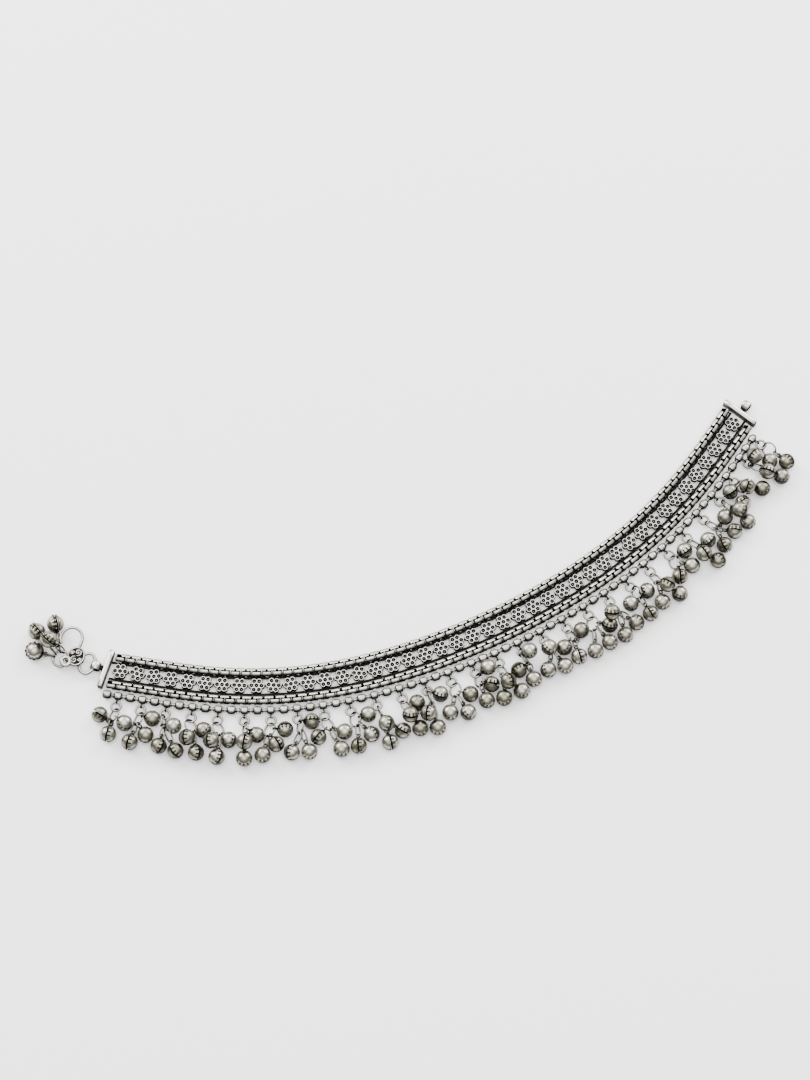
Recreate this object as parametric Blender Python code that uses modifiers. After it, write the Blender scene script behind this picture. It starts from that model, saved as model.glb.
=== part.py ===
"""Oxidised silver anklet with ghungroo bells, lying open in a shallow arc.

The band runs left to right along X. Its centre line lies in the XY plane, and every piece of
the band is placed by its distance along that line and its distance across it, positive towards
the bells. Metres, +Z up, resting on z = 0.
"""
import itertools
import math

import bmesh
import bpy
import numpy as np
from mathutils import Matrix, Vector

# Flowers, the middle row of the band
FLOWER_COUNT = 43
FLOWER_PITCH = 0.00568
FLOWER_ACROSS = 0.00486
FLOWER_THICKNESS = 0.0011
FLOWER_BRIDGE = 0.0013
FLOWER_NOTCH = 0.84
END_REACH = 0.0047

# Box chains on either side of the flowers
CHAIN_ACROSS = 0.0035
CHAIN_POINTS = 24
UPPER_TIE = 0.00042
LOWER_TIE = 0.00072

# Beads below the lower chain, and the eyes under every second bead
BEAD_ACROSS = 0.0028
EYE_WIRE = 0.00045
EYE_STATIONS = (75.0, 25.0)
EYE_FACING = 0.8

# Jump rings and bells of the drops
DROP_COUNT = 30
DROP_PITCH = 0.00816
RING_ACROSS = 0.0038
RING_WIRE = 0.00065
BELL_ACROSS = 0.0054
BELL_STEP = 0.0050
BELL_SIDES = 10
ARM_WIRE = 0.0005
LUG_LENGTH = 0.0005
LUG_SHARE = 0.4
LUG_SIDE = Vector((1.0, 0.31, 0.4))
LEVEL_RISE = 0.7

# End bars with their necks and strip eyes
BAR_LENGTH = 0.0132
BAR_WIDTH = 0.0016
BAR_HEIGHT = 0.0034
BAR_CHAMFER = 0.0002
LEFT_BAR_TURN = math.radians(-8.0)
RIGHT_BAR_TURN = math.radians(-6.0)
NECK_LENGTH = 0.0012
NECK_SIZE = 0.0014
STRIP_ACROSS = 0.0034
STRIP_THICKNESS = 0.0005
STRIP_WIDTH = 0.0023

# Clasp: oval ring, plate with hook, ring of larger bells
OVAL_LONG = 0.0080
OVAL_SHORT = 0.0062
OVAL_WIRE = 0.0010
PLATE_LONG = 0.0078
PLATE_SHORT = 0.0067
PLATE_THICKNESS = 0.0012
HOOK_WIRE = 0.0010
HOOK_SPAN = 0.0072
HOOK_RISE = 0.0076
HOOK_STEM = 0.0020
STAPLE_WIRE = 0.0006
PLATE_SHIFT = -0.0003
HOOK_STEM_SHIFT = 0.0004
HOOK_SWEEP = 222.0
STAPLE_SPACE = 0.0008
CLASP_RING_SHIFT = 0.0011
CLASP_RING_ACROSS = 0.0062
CLASP_RING_WIRE = 0.0008
CLASP_BELL_ACROSS = 0.0062

# Clearances
PIECE_GAP = 0.0003
LINK_GAP = 0.0003
BELL_GAP = 0.00035
ARM_GAP = 0.0006

# Direction of the lying band at equal steps of its length, in degrees from the X axis
HEADINGS = (-33.0, -32.5, -25.0, -16.0, -8.0, -2.0, 3.0, 8.5, 15.0, 23.0, 30.5, 33.5)

# Bells of each drop as (along, down, level): along the band from the drop's ring and down from
# the bead row in bell steps, and level 0 on the surface or 1 on top of other bells
DROP_BELLS = (
    ((-0.9, 1.5, 0), (-0.1, 2.7, 0), (0.8, 1.8, 0)),
    ((-0.1, 2.9, 0), (0.8, 1.4, 0), (0.7, 2.4, 1)),
    ((0.1, 2.9, 0), (0.7, 1.7, 0), (1.0, 2.9, 0)),
    ((-0.1, 2.4, 1), (0.6, 3.1, 0), (0.8, 1.7, 0)),
    ((-0.2, 2.4, 1), (0.1, 3.1, 0), (0.8, 2.1, 0)),
    ((0.2, 2.3, 0), (0.1, 3.3, 0), (1.0, 1.9, 1)),
    ((-0.4, 3.0, 0), (0.3, 2.3, 0), (1.0, 1.7, 0)),
    ((-0.5, 3.0, 0), (0.5, 3.0, 0), (0.9, 1.1, 1)),
    ((-0.6, 2.2, 0), (0.7, 3.2, 0), (1.0, 2.1, 0)),
    ((0.0, 3.2, 0), (0.7, 1.4, 1), (0.9, 2.6, 0)),
    ((0.2, 2.3, 0), (0.2, 3.4, 0), (1.1, 2.9, 0)),
    ((0.2, 2.2, 0), (0.5, 3.0, 0), (0.9, 1.7, 1)),
    ((-0.4, 2.5, 1), (-0.3, 3.2, 0), (0.9, 1.4, 0)),
    ((-0.8, 2.7, 0), (0.2, 3.1, 0), (0.7, 2.2, 0)),
    ((-0.1, 2.4, 0), (0.6, 2.0, 1), (0.8, 1.0, 1)),
    ((-0.7, 3.1, 0), (-0.1, 2.4, 0), (0.5, 3.0, 0)),
    ((-0.8, 1.8, 1), (-0.1, 2.8, 0), (0.3, 1.0, 1)),
    ((-0.9, 2.7, 0), (0.0, 1.5, 1), (0.3, 2.9, 0)),
    ((-0.8, 1.8, 0), (-0.2, 2.9, 0), (0.9, 1.5, 1)),
    ((-0.9, 3.0, 0), (-0.1, 3.0, 0), (0.5, 2.3, 0)),
    ((-0.7, 1.8, 1), (-0.6, 3.0, 0), (0.3, 3.0, 0)),
    ((-0.6, 1.7, 0), (-0.1, 3.0, 0), (0.7, 1.7, 0)),
    ((-0.9, 2.9, 0), (0.1, 2.4, 1), (0.3, 3.1, 0)),
    ((-0.4, 2.3, 0), (0.4, 2.2, 0), (0.7, 1.4, 1)),
    ((-0.2, 2.5, 0), (0.1, 3.2, 0), (0.8, 1.9, 0)),
    ((-0.5, 2.9, 0), (0.6, 1.8, 0), (0.6, 2.8, 0)),
    ((-0.1, 3.0, 0), (0.1, 2.3, 1), (0.7, 1.8, 0)),
    ((-0.7, 1.1, 1), (0.0, 1.7, 0), (0.6, 2.5, 0)),
    ((0.1, 2.2, 0), (0.5, 1.0, 1), (0.4, 3.1, 0)),
    ((-0.5, 1.8, 0), (-0.2, 2.8, 0)),
)

# Bells of the clasp as (out, down, level) from the middle of their ring, in their diameters
CLASP_BELLS = ((1.42, 0.04, 0), (1.38, -1.10, 0), (0.82, -1.42, 0), (1.02, -0.66, 1))

# Fineness of the shapes and of the settling of the bells
ROUTE_MARGIN = 0.04
ROUTE_STEPS = 3000
SETTLE_STEPS = 1200
SETTLE_DRAW = 0.06
SETTLE_DROP = 0.02
ARM_SHARE = 0.7
WALL_STEPS = 500
RING_SIDES = 10
WIRE_SIDES = 5
STRIP_SIDES = 14
OVAL_SIDES = 14
CLASP_RING_SIDES = 12
BELL_ROWS = 4
PLATE_SIDES = 16
HOOK_STEPS = 10
STAPLE_STEPS = 4


def band_length():
    return (FLOWER_COUNT - 1) * FLOWER_PITCH + 2.0 * END_REACH


def upper_chain_line():
    return -(FLOWER_ACROSS / 2.0 + UPPER_TIE + CHAIN_ACROSS / 2.0)


def lower_chain_line():
    return FLOWER_ACROSS / 2.0 + LOWER_TIE + CHAIN_ACROSS / 2.0


def bead_line():
    return lower_chain_line() + CHAIN_ACROSS / 2.0 + PIECE_GAP + BEAD_ACROSS / 2.0


def ring_reach():
    """Distance from the bead row to the middle of a drop's jump ring."""
    return BEAD_ACROSS / 2.0 + LINK_GAP + RING_WIRE / 2.0 + (RING_ACROSS - RING_WIRE) / 2.0


def route_table():
    """Distances along the band with the x, y and heading there, going straight on past both ends."""
    length = band_length()
    along = np.linspace(-ROUTE_MARGIN, length + ROUTE_MARGIN, ROUTE_STEPS)
    known = np.linspace(0.0, length, len(HEADINGS))
    heading = np.radians(np.interp(along, known, HEADINGS))
    middle = (heading[1:] + heading[:-1]) / 2.0
    step = along[1] - along[0]
    x = np.concatenate(([0.0], np.cumsum(np.cos(middle)) * step))
    y = np.concatenate(([0.0], np.cumsum(np.sin(middle)) * step))
    return along, x, y, heading


def place(along, across):
    """Point of the XY plane at a distance along the band and across it towards the bells."""
    table = route_table()
    x = np.interp(along, table[0], table[1])
    y = np.interp(along, table[0], table[2])
    heading = np.interp(along, table[0], table[3])
    return x + across * np.sin(heading), y - across * np.cos(heading)


def frame_at(along, across, height, turn=0.0):
    """Matrix of a local frame: X along the band, Y away from the bells, Z up."""
    table = route_table()
    heading = float(np.interp(along, table[0], table[3])) + turn
    x, y = place(along, across)
    return Matrix.Translation((float(x), float(y), height)) @ Matrix.Rotation(heading, 4, "Z")


def drop_stations():
    """Distances along the band of the drops' jump rings, centred on the band."""
    first = (band_length() - (DROP_COUNT - 1) * DROP_PITCH) / 2.0
    return first + DROP_PITCH * np.arange(DROP_COUNT)


def silver(name, shade, roughness):
    material = bpy.data.materials.new(name)
    material.use_nodes = True
    shader = material.node_tree.nodes["Principled BSDF"]
    shader.inputs["Base Color"].default_value = (shade, shade * 0.97, shade * 0.9, 1.0)
    shader.inputs["Metallic"].default_value = 1.0
    shader.inputs["Roughness"].default_value = roughness
    return material


def add_object(name, data, pieces, parent, material):
    """Puts a mesh or curve into the anklet's collection under its parent empty."""
    piece = bpy.data.objects.new(name, data)
    pieces.objects.link(piece)
    piece.parent = parent
    piece.data.materials.clear()
    piece.data.materials.append(material)
    return piece


def poly_tube(name, points, radius, resolution):
    """Curve data of a round tube through the points."""
    curve = bpy.data.curves.new(name, "CURVE")
    curve.dimensions = "3D"
    curve.bevel_depth = radius
    curve.bevel_resolution = resolution
    curve.use_fill_caps = True
    spline = curve.splines.new("POLY")
    spline.points.add(len(points) - 1)
    for point, where in zip(spline.points, points):
        point.co = (where[0], where[1], where[2], 1.0)
    return curve


def mesh_of(curve):
    """Welded mesh of a curve, which is then removed."""
    holder = bpy.data.objects.new("curve_holder", curve)
    bpy.context.scene.collection.objects.link(holder)
    bpy.context.view_layer.update()
    mesh = bpy.data.meshes.new_from_object(holder.evaluated_get(bpy.context.evaluated_depsgraph_get()))
    bpy.data.objects.remove(holder)
    bpy.data.curves.remove(curve)
    bm = bmesh.new()
    bm.from_mesh(mesh)
    bmesh.ops.remove_doubles(bm, verts=bm.verts, dist=0.000002)
    bmesh.ops.recalc_face_normals(bm, faces=bm.faces)
    bm.to_mesh(mesh)
    bm.free()
    return mesh


def smooth(mesh, angle=40.0):
    mesh.shade_smooth()
    mesh.set_sharp_from_angle(angle=math.radians(angle))
    return mesh


def torus_mesh(name, across, wire, matrix, sides=RING_SIDES):
    """Closed round link, its outer diameter and wire given, already placed."""
    bpy.ops.mesh.primitive_torus_add(
        major_segments=sides,
        minor_segments=WIRE_SIDES,
        major_radius=(across - wire) / 2.0,
        minor_radius=wire / 2.0,
    )
    made = bpy.context.active_object
    mesh = made.data
    mesh.name = name
    mesh.transform(matrix)
    bpy.data.objects.remove(made)
    return mesh


def spread_face(bm, face, centre, normal, width):
    """Extrudes a four-sided face and lays the new one square across a wire at centre."""
    new = bmesh.ops.extrude_discrete_faces(bm, faces=[face])["faces"][0]
    new.normal_update()
    middle = new.calc_center_median()
    first = new.verts[1].co + new.verts[0].co - 2.0 * middle
    first.normalize()
    old_normal = new.normal.copy()
    second = old_normal.cross(first)
    turn = old_normal.rotation_difference(normal)
    for vert in new.verts:
        offset = vert.co - middle
        a = math.copysign(width / 2.0, offset.dot(first))
        b = math.copysign(width / 2.0, offset.dot(second))
        vert.co = centre + turn @ (first * a + second * b)
    return new


def join_faces(bm, one, other):
    """Opens two faces and closes the gap between them with a straight wire."""
    edges = list(one.edges) + list(other.edges)
    bmesh.ops.delete(bm, geom=[one, other], context="FACES_ONLY")
    bmesh.ops.bridge_loops(bm, edges=edges)


def box_chain(name, across, pieces, parent, material):
    """Tube in place of a box chain, from bar to bar."""
    radius = CHAIN_ACROSS / 2.0
    start, end = end_stations(across, radius)
    x, y = place(np.linspace(start, end, CHAIN_POINTS), across)
    points = [(a, b, radius) for a, b in zip(x, y)]
    return add_object(name, poly_tube(name, points, radius, 2), pieces, parent, material)


def end_stations(across, half_width):
    """Where a piece of the band begins and ends, clear of the two turned bars."""
    sides = (across - half_width, across + half_width)
    left = max(side * math.tan(LEFT_BAR_TURN) for side in sides)
    right = min(side * math.tan(RIGHT_BAR_TURN) for side in sides)
    start = BAR_WIDTH / 2.0 / math.cos(LEFT_BAR_TURN) + left + PIECE_GAP
    end = band_length() - BAR_WIDTH / 2.0 / math.cos(RIGHT_BAR_TURN) + right - PIECE_GAP
    return start, end


def flower_side(tie):
    """Outline of one side of a flower, as along and outward from its middle, left to right."""
    radius = FLOWER_ACROSS / 2.0
    notch = FLOWER_NOTCH * radius
    corners = [(150.0, notch), (120.0, radius), (90.0, tie), (60.0, radius), (30.0, notch)]
    return [(reach * math.cos(math.radians(a)), reach * math.sin(math.radians(a))) for a, reach in corners]


def flower_row(pieces, parent, material):
    """All flowers in one pierced strip: scalloped outlines joined by bridges, with pointed ties."""
    half_bridge = FLOWER_BRIDGE / 2.0
    start, end = end_stations(0.0, half_bridge)
    centres = END_REACH + FLOWER_PITCH * np.arange(FLOWER_COUNT)
    outline = []
    for side, tie_length in ((-1.0, UPPER_TIE), (1.0, LOWER_TIE)):
        tie = FLOWER_ACROSS / 2.0 + tie_length - PIECE_GAP
        edge = [(start, side * half_bridge)]
        for i, centre in enumerate(centres):
            if i > 0:
                edge.append((centre - FLOWER_PITCH / 2.0, side * half_bridge))
            edge += [(centre + along, side * outward) for along, outward in flower_side(tie)]
        edge.append((end, side * half_bridge))
        outline += edge if side < 0 else edge[::-1]
    along, across = np.array(outline).T
    x, y = place(along, across)
    curve = bpy.data.curves.new("flower_row", "CURVE")
    curve.dimensions = "2D"
    curve.fill_mode = "BOTH"
    curve.extrude = FLOWER_THICKNESS / 2.0
    spline = curve.splines.new("POLY")
    spline.points.add(len(x) - 1)
    spline.use_cyclic_u = True
    for point, a, b in zip(spline.points, x, y):
        point.co = (a, b, 0.0, 1.0)
    row = add_object("flower_row", curve, pieces, parent, material)
    row.location = (0.0, 0.0, CHAIN_ACROSS / 2.0)
    return row


def eye_faces(bm, middle, outward):
    """The two tube faces that look towards the bells at one eye, the upper one first."""
    near = []
    for face in bm.faces:
        centre = face.calc_center_median()
        flat = Vector((centre.x - middle.x, centre.y - middle.y, 0.0))
        if len(face.verts) == 4 and flat.length < BEAD_ACROSS and face.normal.dot(outward) > EYE_FACING:
            near.append((abs(flat.dot(outward.cross(Vector((0.0, 0.0, 1.0))))), face))
    near.sort(key=lambda entry: entry[0])
    pair = [face for distance, face in near[:2]]
    pair.sort(key=lambda face: -face.calc_center_median().z)
    return pair


def bead_row(pieces, parent, material):
    """Tube in place of the beads, with a wire eye round each drop's jump ring."""
    radius = BEAD_ACROSS / 2.0
    line = bead_line()
    drops = drop_stations()
    ends = (drops[0] - DROP_PITCH / 2.0 - radius, drops[-1] + radius)
    stations = np.sort(np.concatenate((drops - EYE_WIRE / 2.0, drops + EYE_WIRE / 2.0, ends)))
    x, y = place(stations, line)
    mesh = mesh_of(poly_tube("bead_row", [(a, b, radius) for a, b in zip(x, y)], radius, 2))
    bm = bmesh.new()
    bm.from_mesh(mesh)
    hold = RING_WIRE / 2.0 + LINK_GAP + EYE_WIRE / 2.0
    reach = BEAD_ACROSS / 2.0 + LINK_GAP + RING_WIRE / 2.0
    for station in drops:
        local = frame_at(station, line, radius)
        outward = -(local.to_3x3() @ Vector((0.0, 1.0, 0.0)))
        up = Vector((0.0, 0.0, 1.0))
        centre = local.translation + outward * reach
        upper, lower = eye_faces(bm, local.translation, outward)
        spread = hold / math.cos(math.radians(EYE_STATIONS[-1]))
        for angle in EYE_STATIONS:
            a = math.radians(angle)
            out = outward * math.cos(a) * spread
            rise = up * math.sin(a) * spread
            forward = outward * math.sin(a) - up * math.cos(a)
            back = outward * math.sin(a) + up * math.cos(a)
            upper = spread_face(bm, upper, centre + out + rise, forward, EYE_WIRE)
            lower = spread_face(bm, lower, centre + out - rise, back, EYE_WIRE)
        join_faces(bm, upper, lower)
    bmesh.ops.recalc_face_normals(bm, faces=bm.faces)
    bm.to_mesh(mesh)
    bm.free()
    return add_object("bead_row", smooth(mesh), pieces, parent, material)


def nearest_on_segment(points, start, end):
    """Closest places on straight wires to points, all as arrays."""
    run = end - start
    share = np.sum((points - start) * run, axis=-1) / np.maximum(np.sum(run * run, axis=-1), 1e-12)
    return start + np.clip(share, 0.0, 1.0)[..., None] * run


def settle(wanted, rings, ring_radius, ring_wire, bell, wall):
    """Moves bells apart until none meets another bell, a ring, an arm, a wall or the surface.

    wanted holds the bells' chosen middles and rings the middle of each bell's own ring; wall holds
    points along a round bar and its radius. Every pass draws the bells to their chosen places and
    down, then pushes apart what is too close. The second half of the passes only pushes.
    """
    centres = wanted.copy()
    radius = bell / 2.0
    bodies = np.unique(rings, axis=0)
    count = len(centres)
    for step in range(SETTLE_STEPS):
        if step < SETTLE_STEPS // 2:
            centres[:, :2] += SETTLE_DRAW * (wanted[:, :2] - centres[:, :2])
            centres[:, 2] -= SETTLE_DROP * radius
        push = np.zeros_like(centres)
        apart = centres[:, None] - centres[None]
        distance = np.linalg.norm(apart, axis=2) + np.eye(count)
        short = np.maximum(bell + BELL_GAP - distance, 0.0) * (1.0 - np.eye(count))
        push += 0.5 * np.sum(apart / distance[..., None] * short[..., None], axis=1)
        to_ring = centres[:, None] - bodies[None]
        flat = np.linalg.norm(to_ring[..., :2], axis=2)
        rim = bodies[None] + to_ring * np.array([1.0, 1.0, 0.0]) * (ring_radius / flat)[..., None]
        off = centres[:, None] - rim
        distance = np.linalg.norm(off, axis=2)
        short = np.maximum(radius + ring_wire / 2.0 + BELL_GAP - distance, 0.0)
        push += np.sum(off / distance[..., None] * short[..., None], axis=1)
        lead = centres[:, :2] - rings[:, :2]
        lead = lead / np.linalg.norm(lead, axis=1)[:, None]
        starts = rings.copy()
        starts[:, :2] += lead * ring_radius
        on_arm = nearest_on_segment(centres[:, None], starts[None], centres[None])
        off = centres[:, None] - on_arm
        distance = np.linalg.norm(off, axis=2) + np.eye(count)
        short = np.maximum(radius + ARM_WIRE / 2.0 + ARM_GAP - distance, 0.0) * (1.0 - np.eye(count))
        push += ARM_SHARE * np.sum(off / distance[..., None] * short[..., None], axis=1)
        off = centres[:, None] - wall[0][None]
        distance = np.linalg.norm(off, axis=2)
        nearest = np.argmin(distance, axis=1)
        off = off[np.arange(count), nearest]
        distance = distance[np.arange(count), nearest]
        short = np.maximum(radius + wall[1] + BELL_GAP - distance, 0.0)
        push += off / distance[:, None] * short[:, None]
        centres += push
        centres[:, 2] = np.maximum(centres[:, 2], radius)
    return centres


def bell_places():
    """Middles of the drops' rings, and for each bell its drop and its settled middle."""
    drops = drop_stations()
    line = bead_line()
    x, y = place(drops, line + ring_reach())
    rings = np.stack((x, y, np.full(DROP_COUNT, BEAD_ACROSS / 2.0)), axis=1)
    owner = []
    wanted = []
    for i, bells in enumerate(DROP_BELLS):
        for along, down, level in bells:
            a, b = place(drops[i] + along * BELL_STEP, line + down * BELL_STEP)
            owner.append(i)
            wanted.append((float(a), float(b), BELL_ACROSS * (0.5 + LEVEL_RISE * level)))
    owner = np.array(owner)
    span = np.linspace(0.0, band_length(), WALL_STEPS)
    x, y = place(span, line)
    beads = np.stack((x, y, np.full(len(span), BEAD_ACROSS / 2.0)), axis=1)
    ring_radius = (RING_ACROSS - RING_WIRE) / 2.0
    settled = settle(
        np.array(wanted), rings[owner], ring_radius, RING_WIRE, BELL_ACROSS, (beads, BEAD_ACROSS / 2.0)
    )
    return rings, owner, settled


def outer_ring_faces(bm, ring, ring_radius):
    """Faces of a link that look outward and up, with their direction from its middle."""
    faces = []
    for face in bm.faces:
        offset = face.calc_center_median() - ring
        flat = Vector((offset.x, offset.y, 0.0))
        if flat.length > ring_radius and offset.z > 0.0:
            faces.append((math.atan2(offset.y, offset.x), face))
    return faces


def match_faces(faces, directions, ahead):
    """One face of a link for each bell, in the bells' own order round it, so no two wires cross."""

    def from_ahead(direction):
        return math.remainder(direction - ahead, 2.0 * math.pi)

    ring = sorted(faces, key=lambda entry: from_ahead(entry[0]))
    order = sorted(range(len(directions)), key=lambda i: from_ahead(directions[i]))

    def misfit(choice):
        pairs = zip(choice, order)
        return sum(math.remainder(face[0] - directions[i], 2.0 * math.pi) ** 2 for face, i in pairs)

    best = min(itertools.combinations(ring, len(order)), key=misfit)
    return [best[order.index(i)][1] for i in range(len(directions))]


def hang_bells(name, ring, link_mesh, ring_radius, ahead, middles, bell, pieces, parent, material):
    """Link and bells as one body: each bell's lug runs on as a wire to the link."""
    bm = bmesh.new()
    bm.from_mesh(link_mesh)
    bm.normal_update()
    faces = outer_ring_faces(bm, ring, ring_radius)
    directions = [math.atan2(m.y - ring.y, m.x - ring.x) for m in middles]
    hold = match_faces(faces, directions, ahead)
    for middle, ring_face in zip(middles, hold):
        start = ring_face.calc_center_median()
        reach = start - middle
        towards = reach.normalized()
        made = bmesh.ops.create_uvsphere(bm, u_segments=BELL_SIDES, v_segments=BELL_ROWS, radius=bell / 2.0)
        verts = made["verts"]
        quads = [f for f in {face for vert in verts for face in vert.link_faces} if len(f.verts) == 4]
        pick = max(quads, key=lambda f: f.calc_center_median().dot(LUG_SIDE))
        looks = pick.calc_center_median().normalized()
        turn = looks.rotation_difference(towards).to_matrix().to_4x4()
        bmesh.ops.transform(bm, matrix=Matrix.Translation(middle) @ turn, verts=verts)
        bm.normal_update()
        free = reach.length - bell / 2.0
        tip = middle + towards * (bell / 2.0 + min(LUG_LENGTH, LUG_SHARE * free))
        lug_face = spread_face(bm, pick, tip, towards, ARM_WIRE)
        join_faces(bm, ring_face, lug_face)
    bmesh.ops.recalc_face_normals(bm, faces=bm.faces)
    mesh = bpy.data.meshes.new(name)
    bm.to_mesh(mesh)
    bm.free()
    bpy.data.meshes.remove(link_mesh)
    return add_object(name, smooth(mesh), pieces, parent, material)


def bell_drops(pieces, parent, material):
    rings, owner, settled = bell_places()
    headings = np.interp(drop_stations(), *[route_table()[i] for i in (0, 3)])
    ring_radius = (RING_ACROSS - RING_WIRE) / 2.0
    for i in range(DROP_COUNT):
        ring = Vector(rings[i])
        matrix = Matrix.Translation(ring) @ Matrix.Rotation(headings[i] + math.pi / 2.0, 4, "Z")
        link = torus_mesh("jump_ring", RING_ACROSS, RING_WIRE, matrix)
        middles = [Vector(m) for m in settled[owner == i]]
        hang_bells(
            f"bell_drop_{i + 1:02d}", ring, link, ring_radius, headings[i] - math.pi / 2.0, middles,
            BELL_ACROSS, pieces, parent, material,
        )


def round_bar(name, radius, length, cutters):
    """Hidden cylinder along its own Y axis, for a Boolean modifier."""
    mesh = bpy.data.meshes.new(name)
    bm = bmesh.new()
    lying = Matrix.Rotation(math.pi / 2.0, 4, "X")
    bmesh.ops.create_cone(
        bm, cap_ends=True, segments=STRIP_SIDES, radius1=radius, radius2=radius, depth=length, matrix=lying
    )
    bm.to_mesh(mesh)
    bm.free()
    return add_cutter(name, mesh, cutters)


def box_mesh(name, size):
    mesh = bpy.data.meshes.new(name)
    bm = bmesh.new()
    bmesh.ops.create_cube(bm, size=1.0, matrix=Matrix.Diagonal((size[0], size[1], size[2], 1.0)))
    bm.to_mesh(mesh)
    bm.free()
    return mesh


def add_cutter(name, mesh, cutters):
    cutter = bpy.data.objects.new(name, mesh)
    cutters.objects.link(cutter)
    cutter.hide_render = True
    cutter.display_type = "WIRE"
    return cutter


def combine(piece, other, operation):
    boolean = piece.modifiers.new(other.name, "BOOLEAN")
    boolean.operation = operation
    boolean.object = other
    boolean.solver = "EXACT"


def eye_out():
    """Distance from the middle of an end bar to the middle of its strip eye."""
    return BAR_WIDTH / 2.0 + NECK_LENGTH + STRIP_ACROSS / 2.0


def end_bar(name, along, turn, outward, pieces, cutters, parent, material):
    """Square bar across the end of the band, with a neck and a strip bent into an eye."""
    local = frame_at(along, 0.0, BAR_HEIGHT / 2.0, turn)
    bar = add_object(name, box_mesh(name, (BAR_WIDTH, BAR_LENGTH, BAR_HEIGHT)), pieces, parent, material)
    bar.matrix_local = local
    chamfer = bar.modifiers.new("chamfer", "BEVEL")
    chamfer.width = BAR_CHAMFER
    chamfer.segments = 1
    neck_run = BAR_WIDTH / 2.0 + NECK_LENGTH + STRIP_THICKNESS / 2.0
    neck = add_cutter(name + "_neck", box_mesh(name + "_neck", (neck_run, NECK_SIZE, NECK_SIZE)), cutters)
    neck.matrix_local = Matrix.Translation((outward * neck_run / 2.0, 0.0, 0.0))
    strip = round_bar(name + "_strip", STRIP_ACROSS / 2.0, STRIP_WIDTH, cutters)
    strip.matrix_local = Matrix.Translation((outward * eye_out(), 0.0, 0.0))
    hole_radius = STRIP_ACROSS / 2.0 - STRIP_THICKNESS
    hole = round_bar(name + "_hole", hole_radius, STRIP_WIDTH * 2.0, cutters)
    hole.matrix_local = Matrix.Translation((outward * eye_out(), 0.0, 0.0))
    for cutter, operation in ((neck, "UNION"), (strip, "UNION"), (hole, "DIFFERENCE")):
        cutter.parent = bar
        combine(bar, cutter, operation)
    return bar


def clasp_point(out, down, height):
    """World point beyond the left end of the band, in the left bar's turned frame."""
    return frame_at(0.0, 0.0, height, LEFT_BAR_TURN) @ Vector((-out, -down, 0.0))


def oval_out():
    """Distance from the left bar to the middle of the oval ring, whose wire lies in the eye."""
    play = STRIP_ACROSS / 2.0 - STRIP_THICKNESS - OVAL_WIRE / 2.0 - PIECE_GAP
    return eye_out() + play + (OVAL_SHORT - OVAL_WIRE) / 2.0


def first_staple_out():
    return oval_out() + (OVAL_SHORT - OVAL_WIRE) / 2.0


def second_staple_out():
    first = first_staple_out() + OVAL_WIRE / 2.0 + LINK_GAP + STAPLE_WIRE
    return first + STAPLE_SPACE + STAPLE_WIRE + LINK_GAP + CLASP_RING_WIRE / 2.0


def plate_out():
    return (first_staple_out() + second_staple_out()) / 2.0


def plate_height():
    """Height of the plate's middle: its back is clear of the oval ring below it."""
    return BAR_HEIGHT / 2.0 + OVAL_WIRE / 2.0 + LINK_GAP + PLATE_THICKNESS / 2.0


def clasp_ring(pieces, parent, material):
    """Oval jump ring that lies in the left eye and in the hook's first staple."""
    half_long = (OVAL_LONG - OVAL_WIRE) / 2.0
    half_short = (OVAL_SHORT - OVAL_WIRE) / 2.0
    points = []
    for i in range(OVAL_SIDES):
        a = 2.0 * math.pi * i / OVAL_SIDES
        out = oval_out() + half_short * math.cos(a)
        points.append(clasp_point(out, half_long * math.sin(a), BAR_HEIGHT / 2.0))
    curve = poly_tube("clasp_ring", points, OVAL_WIRE / 2.0, 1)
    curve.splines[0].use_cyclic_u = True
    return add_object("clasp_ring", curve, pieces, parent, material)


def hook_path():
    """Middle line of the hook: a stem up from the plate, then an arch that comes back down."""
    stem_out = plate_out() - HOOK_STEM_SHIFT
    top_down = PLATE_SHIFT - PLATE_LONG / 2.0 - HOOK_STEM
    height = plate_height()
    points = [clasp_point(stem_out, PLATE_SHIFT - PLATE_LONG / 4.0, height)]
    for i in range(HOOK_STEPS + 1):
        a = math.radians(180.0 - HOOK_SWEEP * i / HOOK_STEPS)
        out = stem_out + HOOK_SPAN / 2.0 + HOOK_SPAN / 2.0 * math.cos(a)
        points.append(clasp_point(out, top_down - HOOK_RISE / 2.0 * math.sin(a), height))
    return points


def staple_mesh(name, out, down, wire):
    """Half ring below the plate round a wire, its legs running up into the plate."""
    reach = wire / 2.0 + LINK_GAP + STAPLE_WIRE / 2.0
    top = plate_height()
    points = [clasp_point(out - reach, down, top)]
    for i in range(STAPLE_STEPS + 1):
        a = math.pi * i / STAPLE_STEPS
        height = BAR_HEIGHT / 2.0 - reach * math.sin(a)
        points.append(clasp_point(out - reach * math.cos(a), down, height))
    points.append(clasp_point(out + reach, down, top))
    return mesh_of(poly_tube(name, points, STAPLE_WIRE / 2.0, 1))


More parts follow.
